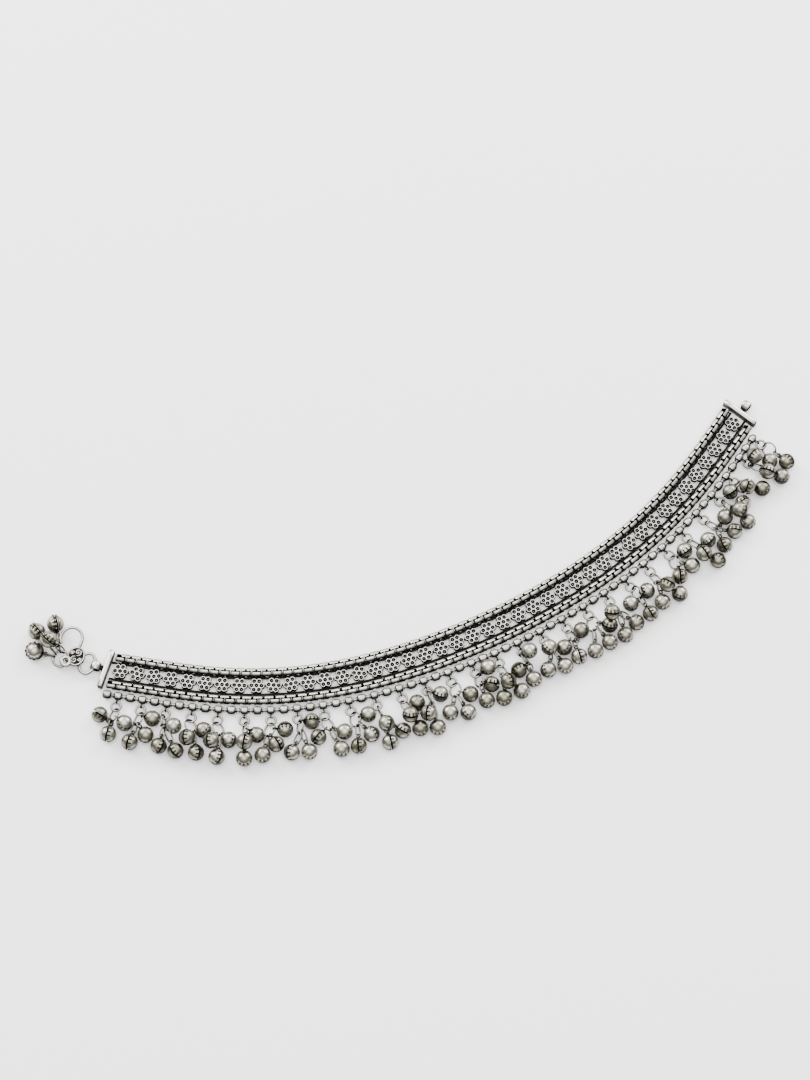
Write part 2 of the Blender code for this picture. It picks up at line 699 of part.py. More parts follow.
def clasp_hook(pieces, cutters, parent, material):
    """Cast oval plate with its hook, and two staples at the back for the two rings."""
    mesh = bpy.data.meshes.new("clasp_hook")
    bm = bmesh.new()
    bmesh.ops.create_cone(
        bm, cap_ends=True, segments=PLATE_SIDES, radius1=0.5, radius2=0.5, depth=PLATE_THICKNESS,
        matrix=Matrix.Diagonal((PLATE_SHORT, PLATE_LONG, 1.0, 1.0)),
    )
    bm.to_mesh(mesh)
    bm.free()
    plate = add_object("clasp_hook", mesh, pieces, parent, material)
    middle = clasp_point(plate_out(), PLATE_SHIFT, plate_height())
    facing = frame_at(0.0, 0.0, 0.0, LEFT_BAR_TURN).to_3x3().to_4x4()
    plate.matrix_local = Matrix.Translation(middle) @ facing
    wires = (
        ("hook_wire", mesh_of(poly_tube("hook_wire", hook_path(), HOOK_WIRE / 2.0, 1))),
        ("oval_staple", staple_mesh("oval_staple", first_staple_out(), 0.0, OVAL_WIRE)),
        ("bell_staple", staple_mesh("bell_staple", second_staple_out(), CLASP_RING_SHIFT, CLASP_RING_WIRE)),
    )
    for name, wire in wires:
        cutter = add_cutter(name, wire, cutters)
        cutter.parent = parent
        combine(plate, cutter, "UNION")
    return plate


def clasp_bell_drop(pieces, parent, material):
    """Ring at the plate's free side with the larger bells of the clasp."""
    ring_radius = (CLASP_RING_ACROSS - CLASP_RING_WIRE) / 2.0
    out = second_staple_out() + ring_radius
    ring = clasp_point(out, CLASP_RING_SHIFT, BAR_HEIGHT / 2.0)
    wanted = []
    for away, down, level in CLASP_BELLS:
        height = CLASP_BELL_ACROSS * (0.5 + LEVEL_RISE * level)
        beside = CLASP_RING_SHIFT + down * CLASP_BELL_ACROSS
        wanted.append(tuple(clasp_point(out + away * CLASP_BELL_ACROSS, beside, height)))
    wanted = np.array(wanted)
    rings = np.tile(np.array(ring), (len(wanted), 1))
    hook = np.array([tuple(point) for point in hook_path()])
    between = np.linspace(0.0, len(hook) - 1.0, WALL_STEPS)
    hook = np.stack([np.interp(between, np.arange(len(hook)), hook[:, k]) for k in range(3)], axis=1)
    settled = settle(
        wanted, rings, ring_radius, CLASP_RING_WIRE, CLASP_BELL_ACROSS, (hook, HOOK_WIRE / 2.0)
    )
    facing = frame_at(0.0, 0.0, 0.0, LEFT_BAR_TURN).to_3x3().to_4x4()
    link = torus_mesh(
        "bell_ring", CLASP_RING_ACROSS, CLASP_RING_WIRE, Matrix.Translation(ring) @ facing, CLASP_RING_SIDES
    )
    middles = [Vector(m) for m in settled]
    ahead = math.radians(HEADINGS[0]) + LEFT_BAR_TURN + math.pi
    hang_bells(
        "clasp_bell_drop", ring, link, ring_radius, ahead, middles, CLASP_BELL_ACROSS,
        pieces, parent, material,
    )


def rest_on_origin(pieces, parent):
    """Moves the whole anklet so that the middle of its box's underside is the origin."""
    bpy.context.view_layer.update()
    graph = bpy.context.evaluated_depsgraph_get()
    corners = []
    for piece in pieces.objects:
        if piece.type == "EMPTY":
            continue
        held = piece.evaluated_get(graph)
        mesh = held.to_mesh()
        co = np.empty(len(mesh.vertices) * 3, dtype=np.float32)
        mesh.vertices.foreach_get("co", co)
        world = np.array(held.matrix_world)
        co = co.reshape(-1, 3) @ world[:3, :3].T + world[:3, 3]
        corners += [co.min(axis=0), co.max(axis=0)]
        held.to_mesh_clear()
    low = np.min(corners, axis=0)
    high = np.max(corners, axis=0)
    parent.location = (-(low[0] + high[0]) / 2.0, -(low[1] + high[1]) / 2.0, -low[2])


def main():
    for old in list(bpy.data.objects):
        bpy.data.objects.remove(old)
    pieces = bpy.data.collections.new("anklet")
    cutters = bpy.data.collections.new("anklet_cutters")
    bpy.context.scene.collection.children.link(pieces)
    bpy.context.scene.collection.children.link(cutters)
    origin = bpy.data.objects.new("anklet_origin", None)
    pieces.objects.link(origin)
    band = silver("band_silver", 0.60, 0.34)
    chain = silver("chain_silver", 0.66, 0.28)
    bells = silver("bell_silver", 0.58, 0.30)
    clasp = silver("clasp_silver", 0.55, 0.36)
    box_chain("upper_box_chain", upper_chain_line(), pieces, origin, chain)
    box_chain("lower_box_chain", lower_chain_line(), pieces, origin, chain)
    flower_row(pieces, origin, band)
    bead_row(pieces, origin, chain)
    end_bar("left_end_bar", 0.0, LEFT_BAR_TURN, -1.0, pieces, cutters, origin, clasp)
    end_bar("right_end_bar", band_length(), RIGHT_BAR_TURN, 1.0, pieces, cutters, origin, clasp)
    clasp_ring(pieces, origin, clasp)
    clasp_hook(pieces, cutters, origin, clasp)
    clasp_bell_drop(pieces, origin, bells)
    bell_drops(pieces, origin, bells)
    rest_on_origin(pieces, origin)


main()
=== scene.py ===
# %% [markdown]
# # Oxidised silver anklet with bells
# An anklet of this kind is a flat band of soldered parts: two box chains with a row of
# pierced flowers between them, a string of beads below, and clusters of small bells hung
# on rings. This lesson dresses its plain model with the real links, cells, beads and bells.

# %% Loading the model
import math

import bmesh
import bpy
import numpy as np
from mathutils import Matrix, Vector


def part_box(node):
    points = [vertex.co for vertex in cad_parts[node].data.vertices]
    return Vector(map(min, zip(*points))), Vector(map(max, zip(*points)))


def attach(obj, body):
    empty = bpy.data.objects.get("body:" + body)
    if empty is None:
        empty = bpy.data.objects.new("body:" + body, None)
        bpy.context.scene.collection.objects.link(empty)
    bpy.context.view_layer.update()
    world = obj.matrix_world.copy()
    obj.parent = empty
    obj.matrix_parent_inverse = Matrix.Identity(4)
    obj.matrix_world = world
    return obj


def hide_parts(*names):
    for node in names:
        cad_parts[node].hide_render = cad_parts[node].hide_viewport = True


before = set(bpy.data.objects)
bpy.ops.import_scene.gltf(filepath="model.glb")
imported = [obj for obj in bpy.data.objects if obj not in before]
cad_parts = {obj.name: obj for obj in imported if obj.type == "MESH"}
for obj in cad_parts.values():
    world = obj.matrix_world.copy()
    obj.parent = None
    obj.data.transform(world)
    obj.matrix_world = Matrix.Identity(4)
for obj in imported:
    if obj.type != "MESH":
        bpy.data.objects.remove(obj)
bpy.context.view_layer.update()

# %% [markdown]
# ## The line of the band
# The band lies in a shallow arc on the table. Its direction was chosen at twelve equal
# steps of its length, and every piece of the band is placed by two distances, one along
# the line and one across it towards the bells. A maker lays out such a band the same way.

# %% The line of the band
FLOWER_COUNT = 43
FLOWER_PITCH = 0.00568
END_REACH = 0.0047
BAND = (FLOWER_COUNT - 1) * FLOWER_PITCH + 2.0 * END_REACH
HEADINGS = (-33.0, -32.5, -25.0, -16.0, -8.0, -2.0, 3.0, 8.5, 15.0, 23.0, 30.5, 33.5)
ROUTE_MARGIN = 0.04
ROUTE_STEPS = 3000


def band_route():
    """Distance, x, y and direction along the band.

    The direction runs straight between its chosen values, and x and y are the running
    sums of its cosine and sine times the step.
    """
    along = np.linspace(-ROUTE_MARGIN, BAND + ROUTE_MARGIN, ROUTE_STEPS)
    known = np.linspace(0.0, BAND, len(HEADINGS))
    heading = np.radians(np.interp(along, known, HEADINGS))
    middle = (heading[1:] + heading[:-1]) / 2.0
    step = along[1] - along[0]
    x = np.concatenate(([0.0], np.cumsum(np.cos(middle)) * step))
    y = np.concatenate(([0.0], np.cumsum(np.sin(middle)) * step))
    return along, x, y, heading


ROUTE = band_route()


def heading_at(along):
    """Direction of the band, read between the steps of its route."""
    return np.interp(along, ROUTE[0], ROUTE[3])


def level(h):
    """Level unit directions at the angles h: (cos h, sin h, 0)."""
    return np.stack((np.cos(h), np.sin(h), np.zeros_like(h)), axis=-1)


def lay(along, across, height):
    """Points at a distance along the band and across it.

    The point on the line, moved by the distance across at a right angle to the direction:
    (x + across sin h, y - across cos h, height).
    """
    along, across, height = np.broadcast_arrays(along, across, height)
    h = heading_at(along)
    x = np.interp(along, ROUTE[0], ROUTE[1]) + across * np.sin(h)
    y = np.interp(along, ROUTE[0], ROUTE[2]) - across * np.cos(h)
    return np.stack((x, y, height), axis=-1)


# %% [markdown]
# ## The clasp's own directions
# The bar that ends the band is turned a little, as it came to rest, and the clasp lies
# in line with it. The middle of the oval ring's box also tells how far the whole model
# was moved, so that everything made here lands on it.

# %% The clasp's own directions
BAR_WIDTH = 0.0016
LEFT_TURN = math.radians(-8.0)
RIGHT_TURN = math.radians(-6.0)
NECK_LENGTH = 0.0012
STRIP_ACROSS = 0.0034
STRIP_THICKNESS = 0.0005
OVAL_SHORT = 0.0062
OVAL_WIRE = 0.0010
PIECE_GAP = 0.0003
EYE_OUT = BAR_WIDTH / 2.0 + NECK_LENGTH + STRIP_ACROSS / 2.0
OVAL_PLAY = STRIP_ACROSS / 2.0 - STRIP_THICKNESS - OVAL_WIRE / 2.0 - PIECE_GAP
OVAL_OUT = EYE_OUT + OVAL_PLAY + (OVAL_SHORT - OVAL_WIRE) / 2.0


def clasp_lay(out, down, height):
    """Points beyond the left bar, out from it and down along it.

    Both distances are turned by the bar's own angle h and measured back from the band's
    start: (x - out cos h + down sin h, y - out sin h - down cos h, height).
    """
    out, down, height = np.broadcast_arrays(out, down, height)
    h = heading_at(0.0) + LEFT_TURN
    start = lay(0.0, 0.0, 0.0)
    x = start[0] - out * math.cos(h) + down * math.sin(h)
    y = start[1] - out * math.sin(h) - down * math.cos(h)
    return np.stack((x, y, height), axis=-1)


corners = np.array([list(corner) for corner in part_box("clasp_ring")])
shift = corners.mean(axis=0)[:2] - clasp_lay(OVAL_OUT, 0.0, 0.0)[:2]
ROUTE[1][:] += shift[0]
ROUTE[2][:] += shift[1]
print("model moved by", shift)

# %% [markdown]
# ## Surfaces as whole arrays
# Every new surface here is a tube-like grid: rows of points, each row a closed loop.
# A copy of such a grid makes one link, bead or bell, and all the copies are written into
# the mesh in a few steps. Two values travel with each point: how black it is, and the tone
# of its piece. The black is the patina of the oxidising bath, kept by how deep a point sits
# in a recess, plus painted shade: the sides and undersides are painted dark as if shaded,
# and thin wires are painted bright along their very tops alone.


# %% Surfaces as whole arrays
# Painted shade: black added to sides and undersides by the upward part of their normals, and on thin wires
# to all but their very tops.
UNDERSIDE_SHADE = 0.85
SHADE_BELOW = 0.5
SHADE_FADE = 0.5
WIRE_SHADE_BELOW = 1.08
SHARP_ANGLE = math.radians(50.0)


def patch(points, patina_and_shade=0.0, tone=0.5, ring=False, shade_below=SHADE_BELOW):
    """A stack of tube-like grids, with the axes copy, row, column and coordinate.

    A face joins each point to the next in its row and to the two beside them in the next
    row. Rows close on themselves. With ring the last row joins the first one, and
    otherwise a fan of triangles round their mean point closes the first and the last row.
    Where the upward part of a point's normal falls below the patch's last argument, build() adds painted
    shade to it.
    """
    count, rows, cols = points.shape[:3]
    patina_and_shade = np.broadcast_to(patina_and_shade, points.shape[:3])
    tone = np.broadcast_to(tone, points.shape[:3])
    row, col = np.meshgrid(np.arange(rows if ring else rows - 1), np.arange(cols), indexing="ij")
    below = row * cols
    above = (row + 1) % rows * cols
    beside = (col + 1) % cols
    quads = np.stack((below + col, below + beside, above + beside, above + col), axis=-1)
    start = np.arange(count) * rows * cols
    quads = (quads.reshape(1, -1, 4) + start[:, None, None]).reshape(-1, 4)
    made = {"co": points.reshape(-1, 3), "quads": quads, "tris": np.empty((0, 3), int)}
    made["patina_and_shade"] = patina_and_shade.reshape(-1)
    made["tone"] = tone.reshape(-1)
    if not ring:
        ends = (0, rows - 1)
        tips = count * rows * cols + 2 * np.arange(count)[:, None]
        around = np.arange(cols)
        low = start[:, None] + around
        low_beside = start[:, None] + (around + 1) % cols
        high = low + (rows - 1) * cols
        high_beside = low_beside + (rows - 1) * cols
        first = np.stack(np.broadcast_arrays(tips, low_beside, low), axis=-1)
        last = np.stack(np.broadcast_arrays(tips + 1, high, high_beside), axis=-1)
        made["tris"] = np.concatenate((first.reshape(-1, 3), last.reshape(-1, 3)))
        made["co"] = np.concatenate((made["co"], points[:, ends].mean(axis=2).reshape(-1, 3)))
        for key, values in (("patina_and_shade", patina_and_shade), ("tone", tone)):
            made[key] = np.concatenate((made[key], values[:, ends].mean(axis=2).reshape(-1)))
    made["shade_below"] = np.full(len(made["co"]), shade_below)
    return made


def placed(name, data):
    """A new object in the scene, which starts at the origin, unturned and unscaled."""
    made = bpy.data.objects.new(name, data)
    bpy.context.scene.collection.objects.link(made)
    return made


def build(name, patches, material, slot, *nodes):
    """One object from its patches, riding on the model in place of the named nodes.

    The corner numbers of each patch are moved on by the count of points before it. What
    would dip below the table by a hair is raised to it. Painted shade is added to the black
    value where the surface turns sideways and down, as the upward part z of its normal falls
    below the patch's threshold: the shade's full strength times (threshold - z) over the fade
    width, between none and all of it.
    """
    before = np.cumsum([0] + [len(p["co"]) for p in patches])
    quads = np.concatenate([p["quads"] + n for p, n in zip(patches, before)])
    tris = np.concatenate([p["tris"] + n for p, n in zip(patches, before)])
    co = np.concatenate([p["co"] for p in patches])
    co[:, 2] = np.maximum(co[:, 2], 0.0)
    mesh = bpy.data.meshes.new(name)
    mesh.vertices.add(len(co))
    mesh.vertices.foreach_set("co", co.astype(np.float32).ravel())
    mesh.loops.add(quads.size + tris.size)
    mesh.loops.foreach_set("vertex_index", np.concatenate((quads.ravel(), tris.ravel())).astype(np.int32))
    starts = np.concatenate((4 * np.arange(len(quads)), quads.size + 3 * np.arange(len(tris))))
    mesh.polygons.add(len(starts))
    mesh.polygons.foreach_set("loop_start", starts.astype(np.int32))
    mesh.update(calc_edges=True)
    bm = bmesh.new()
    bm.from_mesh(mesh)
    bmesh.ops.recalc_face_normals(bm, faces=bm.faces)
    bm.to_mesh(mesh)
    bm.free()
    normals = np.empty(3 * len(co), np.float32)
    mesh.vertices.foreach_get("normal", normals)
    shade_below = np.concatenate([p["shade_below"] for p in patches])
    # Painted shade on sides and undersides, added to the black value of each point.
    painted_shade = UNDERSIDE_SHADE * np.clip((shade_below - normals[2::3]) / SHADE_FADE, 0.0, 1.0)
    patina_and_shade = np.concatenate([p["patina_and_shade"] for p in patches]) + painted_shade
    tone = np.concatenate([p["tone"] for p in patches])
    for key, values in (("patina_and_shade", np.minimum(patina_and_shade, 1.0)), ("tone", tone)):
        mesh.attributes.new(key, "FLOAT", "POINT").data.foreach_set("value", values.astype(np.float32))
    mesh.shade_smooth()
    mesh.set_sharp_from_angle(angle=SHARP_ANGLE)
    mesh.materials.append(material)
    piece = placed(name, mesh)
    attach(piece, "root")
    if nodes:
        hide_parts(*nodes)
    print(name, len(quads) * 2 + len(tris), "triangles, lowest", round(1000.0 * co[:, 2].min(), 2), "mm")
    return piece


def unit(v):
    """Vectors divided by their lengths."""
    return v / np.maximum(np.linalg.norm(v, axis=-1, keepdims=True), 1e-9)


def cross_part(v, axis):
    """What is left of a vector at right angles to an axis, made one long."""
    return unit(v - np.sum(v * axis, axis=-1, keepdims=True) * axis)


UP = np.array([0.0, 0.0, 1.0])

# %% [markdown]
# ## Four general forms
# Wire, rings, turned beads and round bars are the same four forms again and again in
# such work. A wire is a round section carried along a path, a ring is a wire that closes,
# and a bead is a profile turned about its own axis.


# %% Four general forms
def round_angles(count):
    """Equal steps of angle once round a circle."""
    return np.linspace(0.0, 2.0 * math.pi, count, endpoint=False)


def wire(paths, side, radius, sides=8, flat=1.0):
    """Section of a round or flat wire carried along paths of the shape copy, step, coordinate.

    At each step the point is the path's, plus radius times (cos a times the direction at
    right angles to path and side, and flat times sin a times side).
    """
    tangent = unit(np.gradient(paths, axis=1))
    side = cross_part(np.broadcast_to(side, paths.shape), tangent)
    other = np.cross(tangent, side)
    a = round_angles(sides)[:, None]
    radius = np.broadcast_to(radius, paths.shape[:2])[..., None, None]
    ring = np.cos(a) * other[:, :, None] + flat * np.sin(a) * side[:, :, None]
    return paths[:, :, None] + radius * ring


def rings(centre, normal, start, across, wire_across, steps, sides, share=1.0):
    """Round or oval links, from their middles, their planes' normals and one direction in them.

    With u round the link and v round the wire: the middle, plus (R + r cos v) times
    (cos u along start, and share times sin u beside it), plus r sin v along the normal.
    """
    centre, normal, start = (np.atleast_2d(v)[:, None, None] for v in (centre, normal, start))
    across = np.reshape(across, (-1, 1, 1, 1))
    start = cross_part(start, normal)
    beside = np.cross(normal, start)
    u = round_angles(steps)[:, None, None]
    v = round_angles(sides)[:, None]
    big = (across - wire_across) / 2.0
    small = wire_across / 2.0
    middle = big * (np.cos(u) * start + share * np.sin(u) * beside)
    outward = cross_part(share * np.cos(u) * start + np.sin(u) * beside, normal)
    return centre + middle + small * (np.cos(v) * outward + np.sin(v) * normal)


def bright_rings(patina_and_shade, tone, *form):
    """Rings of the form that rings() takes, bright along their very tops alone, with painted shade on their
    sides and undersides.
    """
    return patch(rings(*form), patina_and_shade, tone, ring=True, shade_below=WIRE_SHADE_BELOW)


def turned(centre, axis, stations, radii, sides):
    """Profiles turned about an axis: the middle, plus the station along the axis, plus the
    radius there times the circle round it."""
    centre, axis = np.atleast_2d(centre), np.atleast_2d(axis)
    side = cross_part(np.broadcast_to(UP, axis.shape), axis)
    other = np.cross(axis, side)
    a = round_angles(sides)[:, None]
    circle = np.cos(a) * side[:, None, None] + np.sin(a) * other[:, None, None]
    row = np.asarray(stations)[:, None, None] * axis[:, None, None]
    return centre[:, None, None] + row + np.asarray(radii)[:, None, None] * circle


# %% [markdown]
# ## Oxidised silver
# The whole piece is dipped in a bath that blackens it, and the high places are polished
# bright again. The finish therefore mixes a black and a bright silver by the black value of
# each point, which holds this patina and painted shade together, broken up by a fine noise,
# and gives every bell a tone of its own. The surface has the faint grain of tumbled castings.


# %% Oxidised silver
def node(tree, kind, **values):
    """A shader node with its input values set by name."""
    made = tree.nodes.new(kind)
    for key, value in values.items():
        made.inputs[key.replace("_", " ")].default_value = value
    return made


def spread(tree, source, low, high, to_low, to_high):
    """A value stretched from one range to another and held inside it."""
    stretch = node(tree, "ShaderNodeMapRange", From_Min=low, From_Max=high, To_Min=to_low, To_Max=to_high)
    tree.links.new(source, stretch.inputs["Value"])
    return stretch.outputs["Result"]


def blended(tree, factor, one, other):
    """Two colours mixed by a factor; either may be a plain colour or an output."""
    mix = tree.nodes.new("ShaderNodeMix")
    mix.data_type = "RGBA"
    tree.links.new(factor, mix.inputs["Factor"])
    for socket, colour in ((mix.inputs[6], one), (mix.inputs[7], other)):
        if isinstance(colour, tuple):
            socket.default_value = (*colour, 1.0)
        else:
            tree.links.new(colour, socket)
    return mix.outputs[2]


def point_value(tree, name):
    """Output of a value that every point of the mesh holds."""
    reader = tree.nodes.new("ShaderNodeAttribute")
    reader.attribute_name = name
    return reader.outputs["Fac"]


def silver(name, bright, dull, rough):
    """Blackened silver: bright and dull metal by tone, and black by the per-point value of patina and
    painted shade, which noise breaks up.
    """
    material = bpy.data.materials.new(name)
    material.use_nodes = True
    tree = material.node_tree
    shader = tree.nodes["Principled BSDF"]
    place = tree.nodes.new("ShaderNodeTexCoord").outputs["Object"]
    cloud = node(tree, "ShaderNodeTexNoise", Scale=620.0, Detail=4.0, Roughness=0.6)
    fine = node(tree, "ShaderNodeTexNoise", Scale=3600.0, Detail=3.0, Roughness=0.65)
    for noise in (cloud, fine):
        tree.links.new(place, noise.inputs["Vector"])
    uneven = tree.nodes.new("ShaderNodeMath")
    uneven.operation = "MULTIPLY_ADD"
    tree.links.new(cloud.outputs["Fac"], uneven.inputs[0])
    uneven.inputs[1].default_value = 0.3
    # The black value of each point: patina in recesses plus painted shade.
    tree.links.new(point_value(tree, "patina_and_shade"), uneven.inputs[2])
    black = spread(tree, uneven.outputs[0], 0.34, 0.86, 0.0, 1.0)
    metal = blended(tree, point_value(tree, "tone"), bright, dull)
    colour = blended(tree, black, metal, (0.010, 0.009, 0.008))
    tree.links.new(colour, shader.inputs["Base Color"])
    shader.inputs["Metallic"].default_value = 1.0
    tree.links.new(spread(tree, uneven.outputs[0], 0.2, 1.0, rough, 0.62), shader.inputs["Roughness"])
    bump = node(tree, "ShaderNodeBump", Strength=0.18, Distance=0.00004)
    tree.links.new(fine.outputs["Fac"], bump.inputs["Height"])
    tree.links.new(bump.outputs["Normal"], shader.inputs["Normal"])
    return material


chain_silver = silver("chain_silver", (0.53, 0.52, 0.48), (0.34, 0.33, 0.28), 0.27)
bead_silver = silver("bead_silver", (0.44, 0.43, 0.39), (0.25, 0.24, 0.20), 0.28)
band_silver = silver("band_silver", (0.74, 0.73, 0.70), (0.55, 0.54, 0.50), 0.28)
bell_silver = silver("bell_silver", (0.35, 0.337, 0.285), (0.165, 0.157, 0.118), 0.32)
clasp_silver = silver("clasp_silver", (0.50, 0.48, 0.44), (0.30, 0.29, 0.25), 0.28)
random = np.random.default_rng(5)

# %% [markdown]
# ## Box chains
# A box chain is made of short loops of flat strip, each turned a quarter against the one
# before and passed through it, so that the chain shows a closed row of little plates on
# each of its four sides. These chains lie on an edge, and the plates of the two upper
# sides are seen staggered by half a step.

# %% Box chains
FLOWER_ACROSS = 0.00486
CHAIN_ACROSS = 0.0035
UPPER_SPACE = 0.00042
LOWER_SPACE = 0.00072
UPPER_CHAIN = -(FLOWER_ACROSS / 2.0 + UPPER_SPACE + CHAIN_ACROSS / 2.0)
LOWER_CHAIN = FLOWER_ACROSS / 2.0 + LOWER_SPACE + CHAIN_ACROSS / 2.0
LINK_STEP = 0.001775
LINK_LONG = 0.00318
LINK_WIDE = 0.00312
STRIP = 0.00048
STRIP_HALF = 0.00085
STRIP_CROWN = 0.00032
LINK_BEND = 0.00046
LINK_FLARE = 1.06


def band_ends(across, half):
    """First and last distance along the band that a piece of some width may reach: the bars'
    faces, which lie at their turn's tangent times the distance across."""
    sides = np.array((across - half, across + half))
    start = BAR_WIDTH / 2.0 / math.cos(LEFT_TURN) + (sides * math.tan(LEFT_TURN)).max()
    end = BAND - BAR_WIDTH / 2.0 / math.cos(RIGHT_TURN) + (sides * math.tan(RIGHT_TURN)).min()
    return start, end


def box_links(across):
    """Loops of strip, each a rounded rectangle along the chain with a crowned strip for section.

    The path runs round four bends of three points, middle plus radius times the bend's
    direction, with a narrower place half way along each plate. The section adds a depth along
    that direction, which falls off as the square of the width, and a width beside it. The two
    cross directions of the chain, half way between flat and upright, swap at every link. The
    strips are painted darker towards their lower edges, a painted shade.
    """
    start, end = band_ends(across, CHAIN_ACROSS / 2.0)
    count = int((end - start - LINK_LONG) / LINK_STEP) + 1
    along = (start + end) / 2.0 + LINK_STEP * (np.arange(count) - (count - 1) / 2.0)
    height = (LINK_WIDE / 2.0 - STRIP_CROWN + STRIP_HALF * LINK_FLARE) / math.sqrt(2.0)
    centre = lay(along, across, height)
    tangent = level(heading_at(along))
    away = np.cross(UP, tangent)
    one, other = unit(UP + away), unit(UP - away)
    odd = (np.arange(count) % 2 == 1)[:, None]
    plate, beside = np.where(odd, one, other), np.where(odd, other, one)
    bend = np.radians([0, 45, 90, 90, 90, 135, 180, 180, 225, 270, 270, 270, 315, 360])
    corner_x = (LINK_LONG / 2.0 - LINK_BEND) * np.array([1, 1, 1, 0, -1, -1, -1, -1, -1, -1, 0, 1, 1, 1])
    corner_y = (LINK_WIDE / 2.0 - LINK_BEND) * np.repeat([1, -1], 7)
    flare = np.array([LINK_FLARE, LINK_FLARE, 1.0, 0.88, 1.0, LINK_FLARE, LINK_FLARE] * 2)
    across_strip = np.array([-1.0, -0.55, 0.0, 0.55, 1.0, 1.0, -1.0])
    depth = LINK_BEND - STRIP_CROWN * across_strip ** 2
    depth[5:] = LINK_BEND - STRIP
    x = (corner_x[:, None] + np.cos(bend)[:, None] * depth)[None, :, :, None]
    y = (corner_y[:, None] + np.sin(bend)[:, None] * depth)[None, :, :, None]
    z = (STRIP_HALF * flare[:, None] * across_strip)[None, :, :, None]
    axes = [v[:, None, None] for v in (tangent, plate, beside)]
    points = centre[:, None, None] + x * axes[0] + y * axes[1] + z * axes[2]
    # Black across the strip: painted shade, darker towards the lower edge; the inner faces and the bends
    # where links pass through keep patina.
    patina_and_shade = np.array([0.85, 0.62, 0.38, 0.12, 0.0, 1.0, 1.0]) + 0.8 * np.cos(bend)[:, None] ** 4
    tone = random.uniform(0.0, 0.8, (count, 1, 1))
    return patch(points, np.minimum(patina_and_shade, 1.0), tone, ring=True)


for edge, across in (("upper", UPPER_CHAIN), ("lower", LOWER_CHAIN)):
    build(f"{edge}_chain_links", [box_links(across)], chain_silver, "chain_silver", f"{edge}_box_chain")

# %% [markdown]
# ## Flowers
# Each flower is seven short hexagonal cups soldered side by side, one in the middle and
# six round it, with a small grain of silver in every cup. The rims and grains are polished
# and the hollows stay black. Short legs hold the flowers to a dark rail along each chain;
# the rail is a dark strip that stands in for the shade along the chains' inner edges and
# for the chains' black inner faces. The flowers lie a little turned, each in its own way.

# %% Flowers
CELL_STEP = 0.00166
CELL_RADIUS = 0.00086
FLOWER_TOP = 0.00225
FLOWER_BASE = 0.00115
FLOWER_TURN = 7.0
CUP_DEPTH = 0.00036
GRAIN_HEIGHT = 0.00022
LEG_START = 0.0016
LEG_LOWER = 0.0019
LEG_UPPER = 0.0016
LEG_HEIGHT = 0.0014
TIE_START = 0.0020
TIE_HEIGHT = 0.0015
SHADE_RAIL_UPPER = 0.00272
SHADE_RAIL_LOWER = 0.00288
SHADE_RAIL_HALF = 0.00040
SHADE_RAIL_HEIGHT = 0.0012


def flower_frames():
    """Middles of the flowers and their own directions, each turned by a random small angle."""
    along = END_REACH + FLOWER_PITCH * np.arange(FLOWER_COUNT)
    centre = lay(along, 0.0, 0.0)
    angle = heading_at(along) + np.radians(random.normal(0.0, FLOWER_TURN, FLOWER_COUNT))
    ahead = level(angle)
    return along, centre, ahead, np.cross(UP, ahead)


def flower_cells(centre, ahead, beside):
    """Hexagonal cups: a profile of radius and height turned about each cell's middle.

    A cell's radius at an angle is a blend of a circle and of a hexagon with its flats
    towards the six neighbours, which is 1 / cos of the angle from the nearest flat.
    """
    turn = np.radians(60.0 * np.arange(6))
    spots = CELL_STEP * np.stack((np.append(0.0, np.cos(turn)), np.append(0.0, np.sin(turn))), axis=-1)
    middle = centre[:, None] + spots[None, :, :1] * ahead[:, None] + spots[None, :, 1:] * beside[:, None]
    a = round_angles(12)
    off = (a + math.pi / 6.0) % (math.pi / 3.0) - math.pi / 6.0
    six = 0.45 + 0.55 / np.cos(off)
    radii = CELL_RADIUS * np.array([1.24, 1.0, 0.96, 0.82, 0.79, 0.20, 0.08])
    floor = FLOWER_TOP - CUP_DEPTH
    heights = np.array([FLOWER_BASE, FLOWER_TOP - 0.00008, FLOWER_TOP, FLOWER_TOP,
                        floor, floor, floor + GRAIN_HEIGHT])
    radius = (radii[:, None] * six)[None, None, :, :, None]
    flat = np.cos(a)[:, None] * ahead[:, None, None, None] + np.sin(a)[:, None] * beside[:, None, None, None]
    points = middle[:, :, None, None] + radius * flat + heights[:, None, None] * UP
    patina_and_shade = np.array([1.0, 0.5, 0.0, 0.4, 1.0, 1.0, 0.4])[:, None]
    tone = random.uniform(0.0, 0.7, (FLOWER_COUNT, 7, 1, 1))
    tone = np.broadcast_to(tone, points.shape[:4]).reshape(-1, *points.shape[2:4])
    return patch(points.reshape(-1, *points.shape[2:]), patina_and_shade, tone)


def flower_legs(along):
    """Flat wires at one height from every flower to both chains and to the next flower, and a
    dark rail along each chain, which stands in for the shade there and the chains' black inner
    faces: evenly spaced distances along or across the band."""
    step = np.linspace(0.0, 1.0, 4)[None, :]
    down = lay(along[:, None], LEG_START + step * LEG_LOWER, LEG_HEIGHT)
    up = lay(along[:, None], -LEG_START - step * LEG_UPPER, LEG_HEIGHT)
    ahead = lay(along[:-1, None] + TIE_START + step * (FLOWER_PITCH - 2.0 * TIE_START), 0.0, TIE_HEIGHT)
    run = np.linspace(*band_ends(0.0, 0.004), 160)[None]
    # The rails are dark strips painted in for shade along the chains' inner edges and for the chains' black
    # inner faces.
    upper, lower = lay(run, -SHADE_RAIL_UPPER, SHADE_RAIL_HEIGHT), lay(run, SHADE_RAIL_LOWER, SHADE_RAIL_HEIGHT)
    wires = ((down, 0.00042), (up, 0.00036), (ahead, 0.00040), (upper, SHADE_RAIL_HALF), (lower, SHADE_RAIL_HALF))
    return [patch(wire(path, UP, radius, 8, 0.7), 0.8, 0.8) for path, radius in wires]


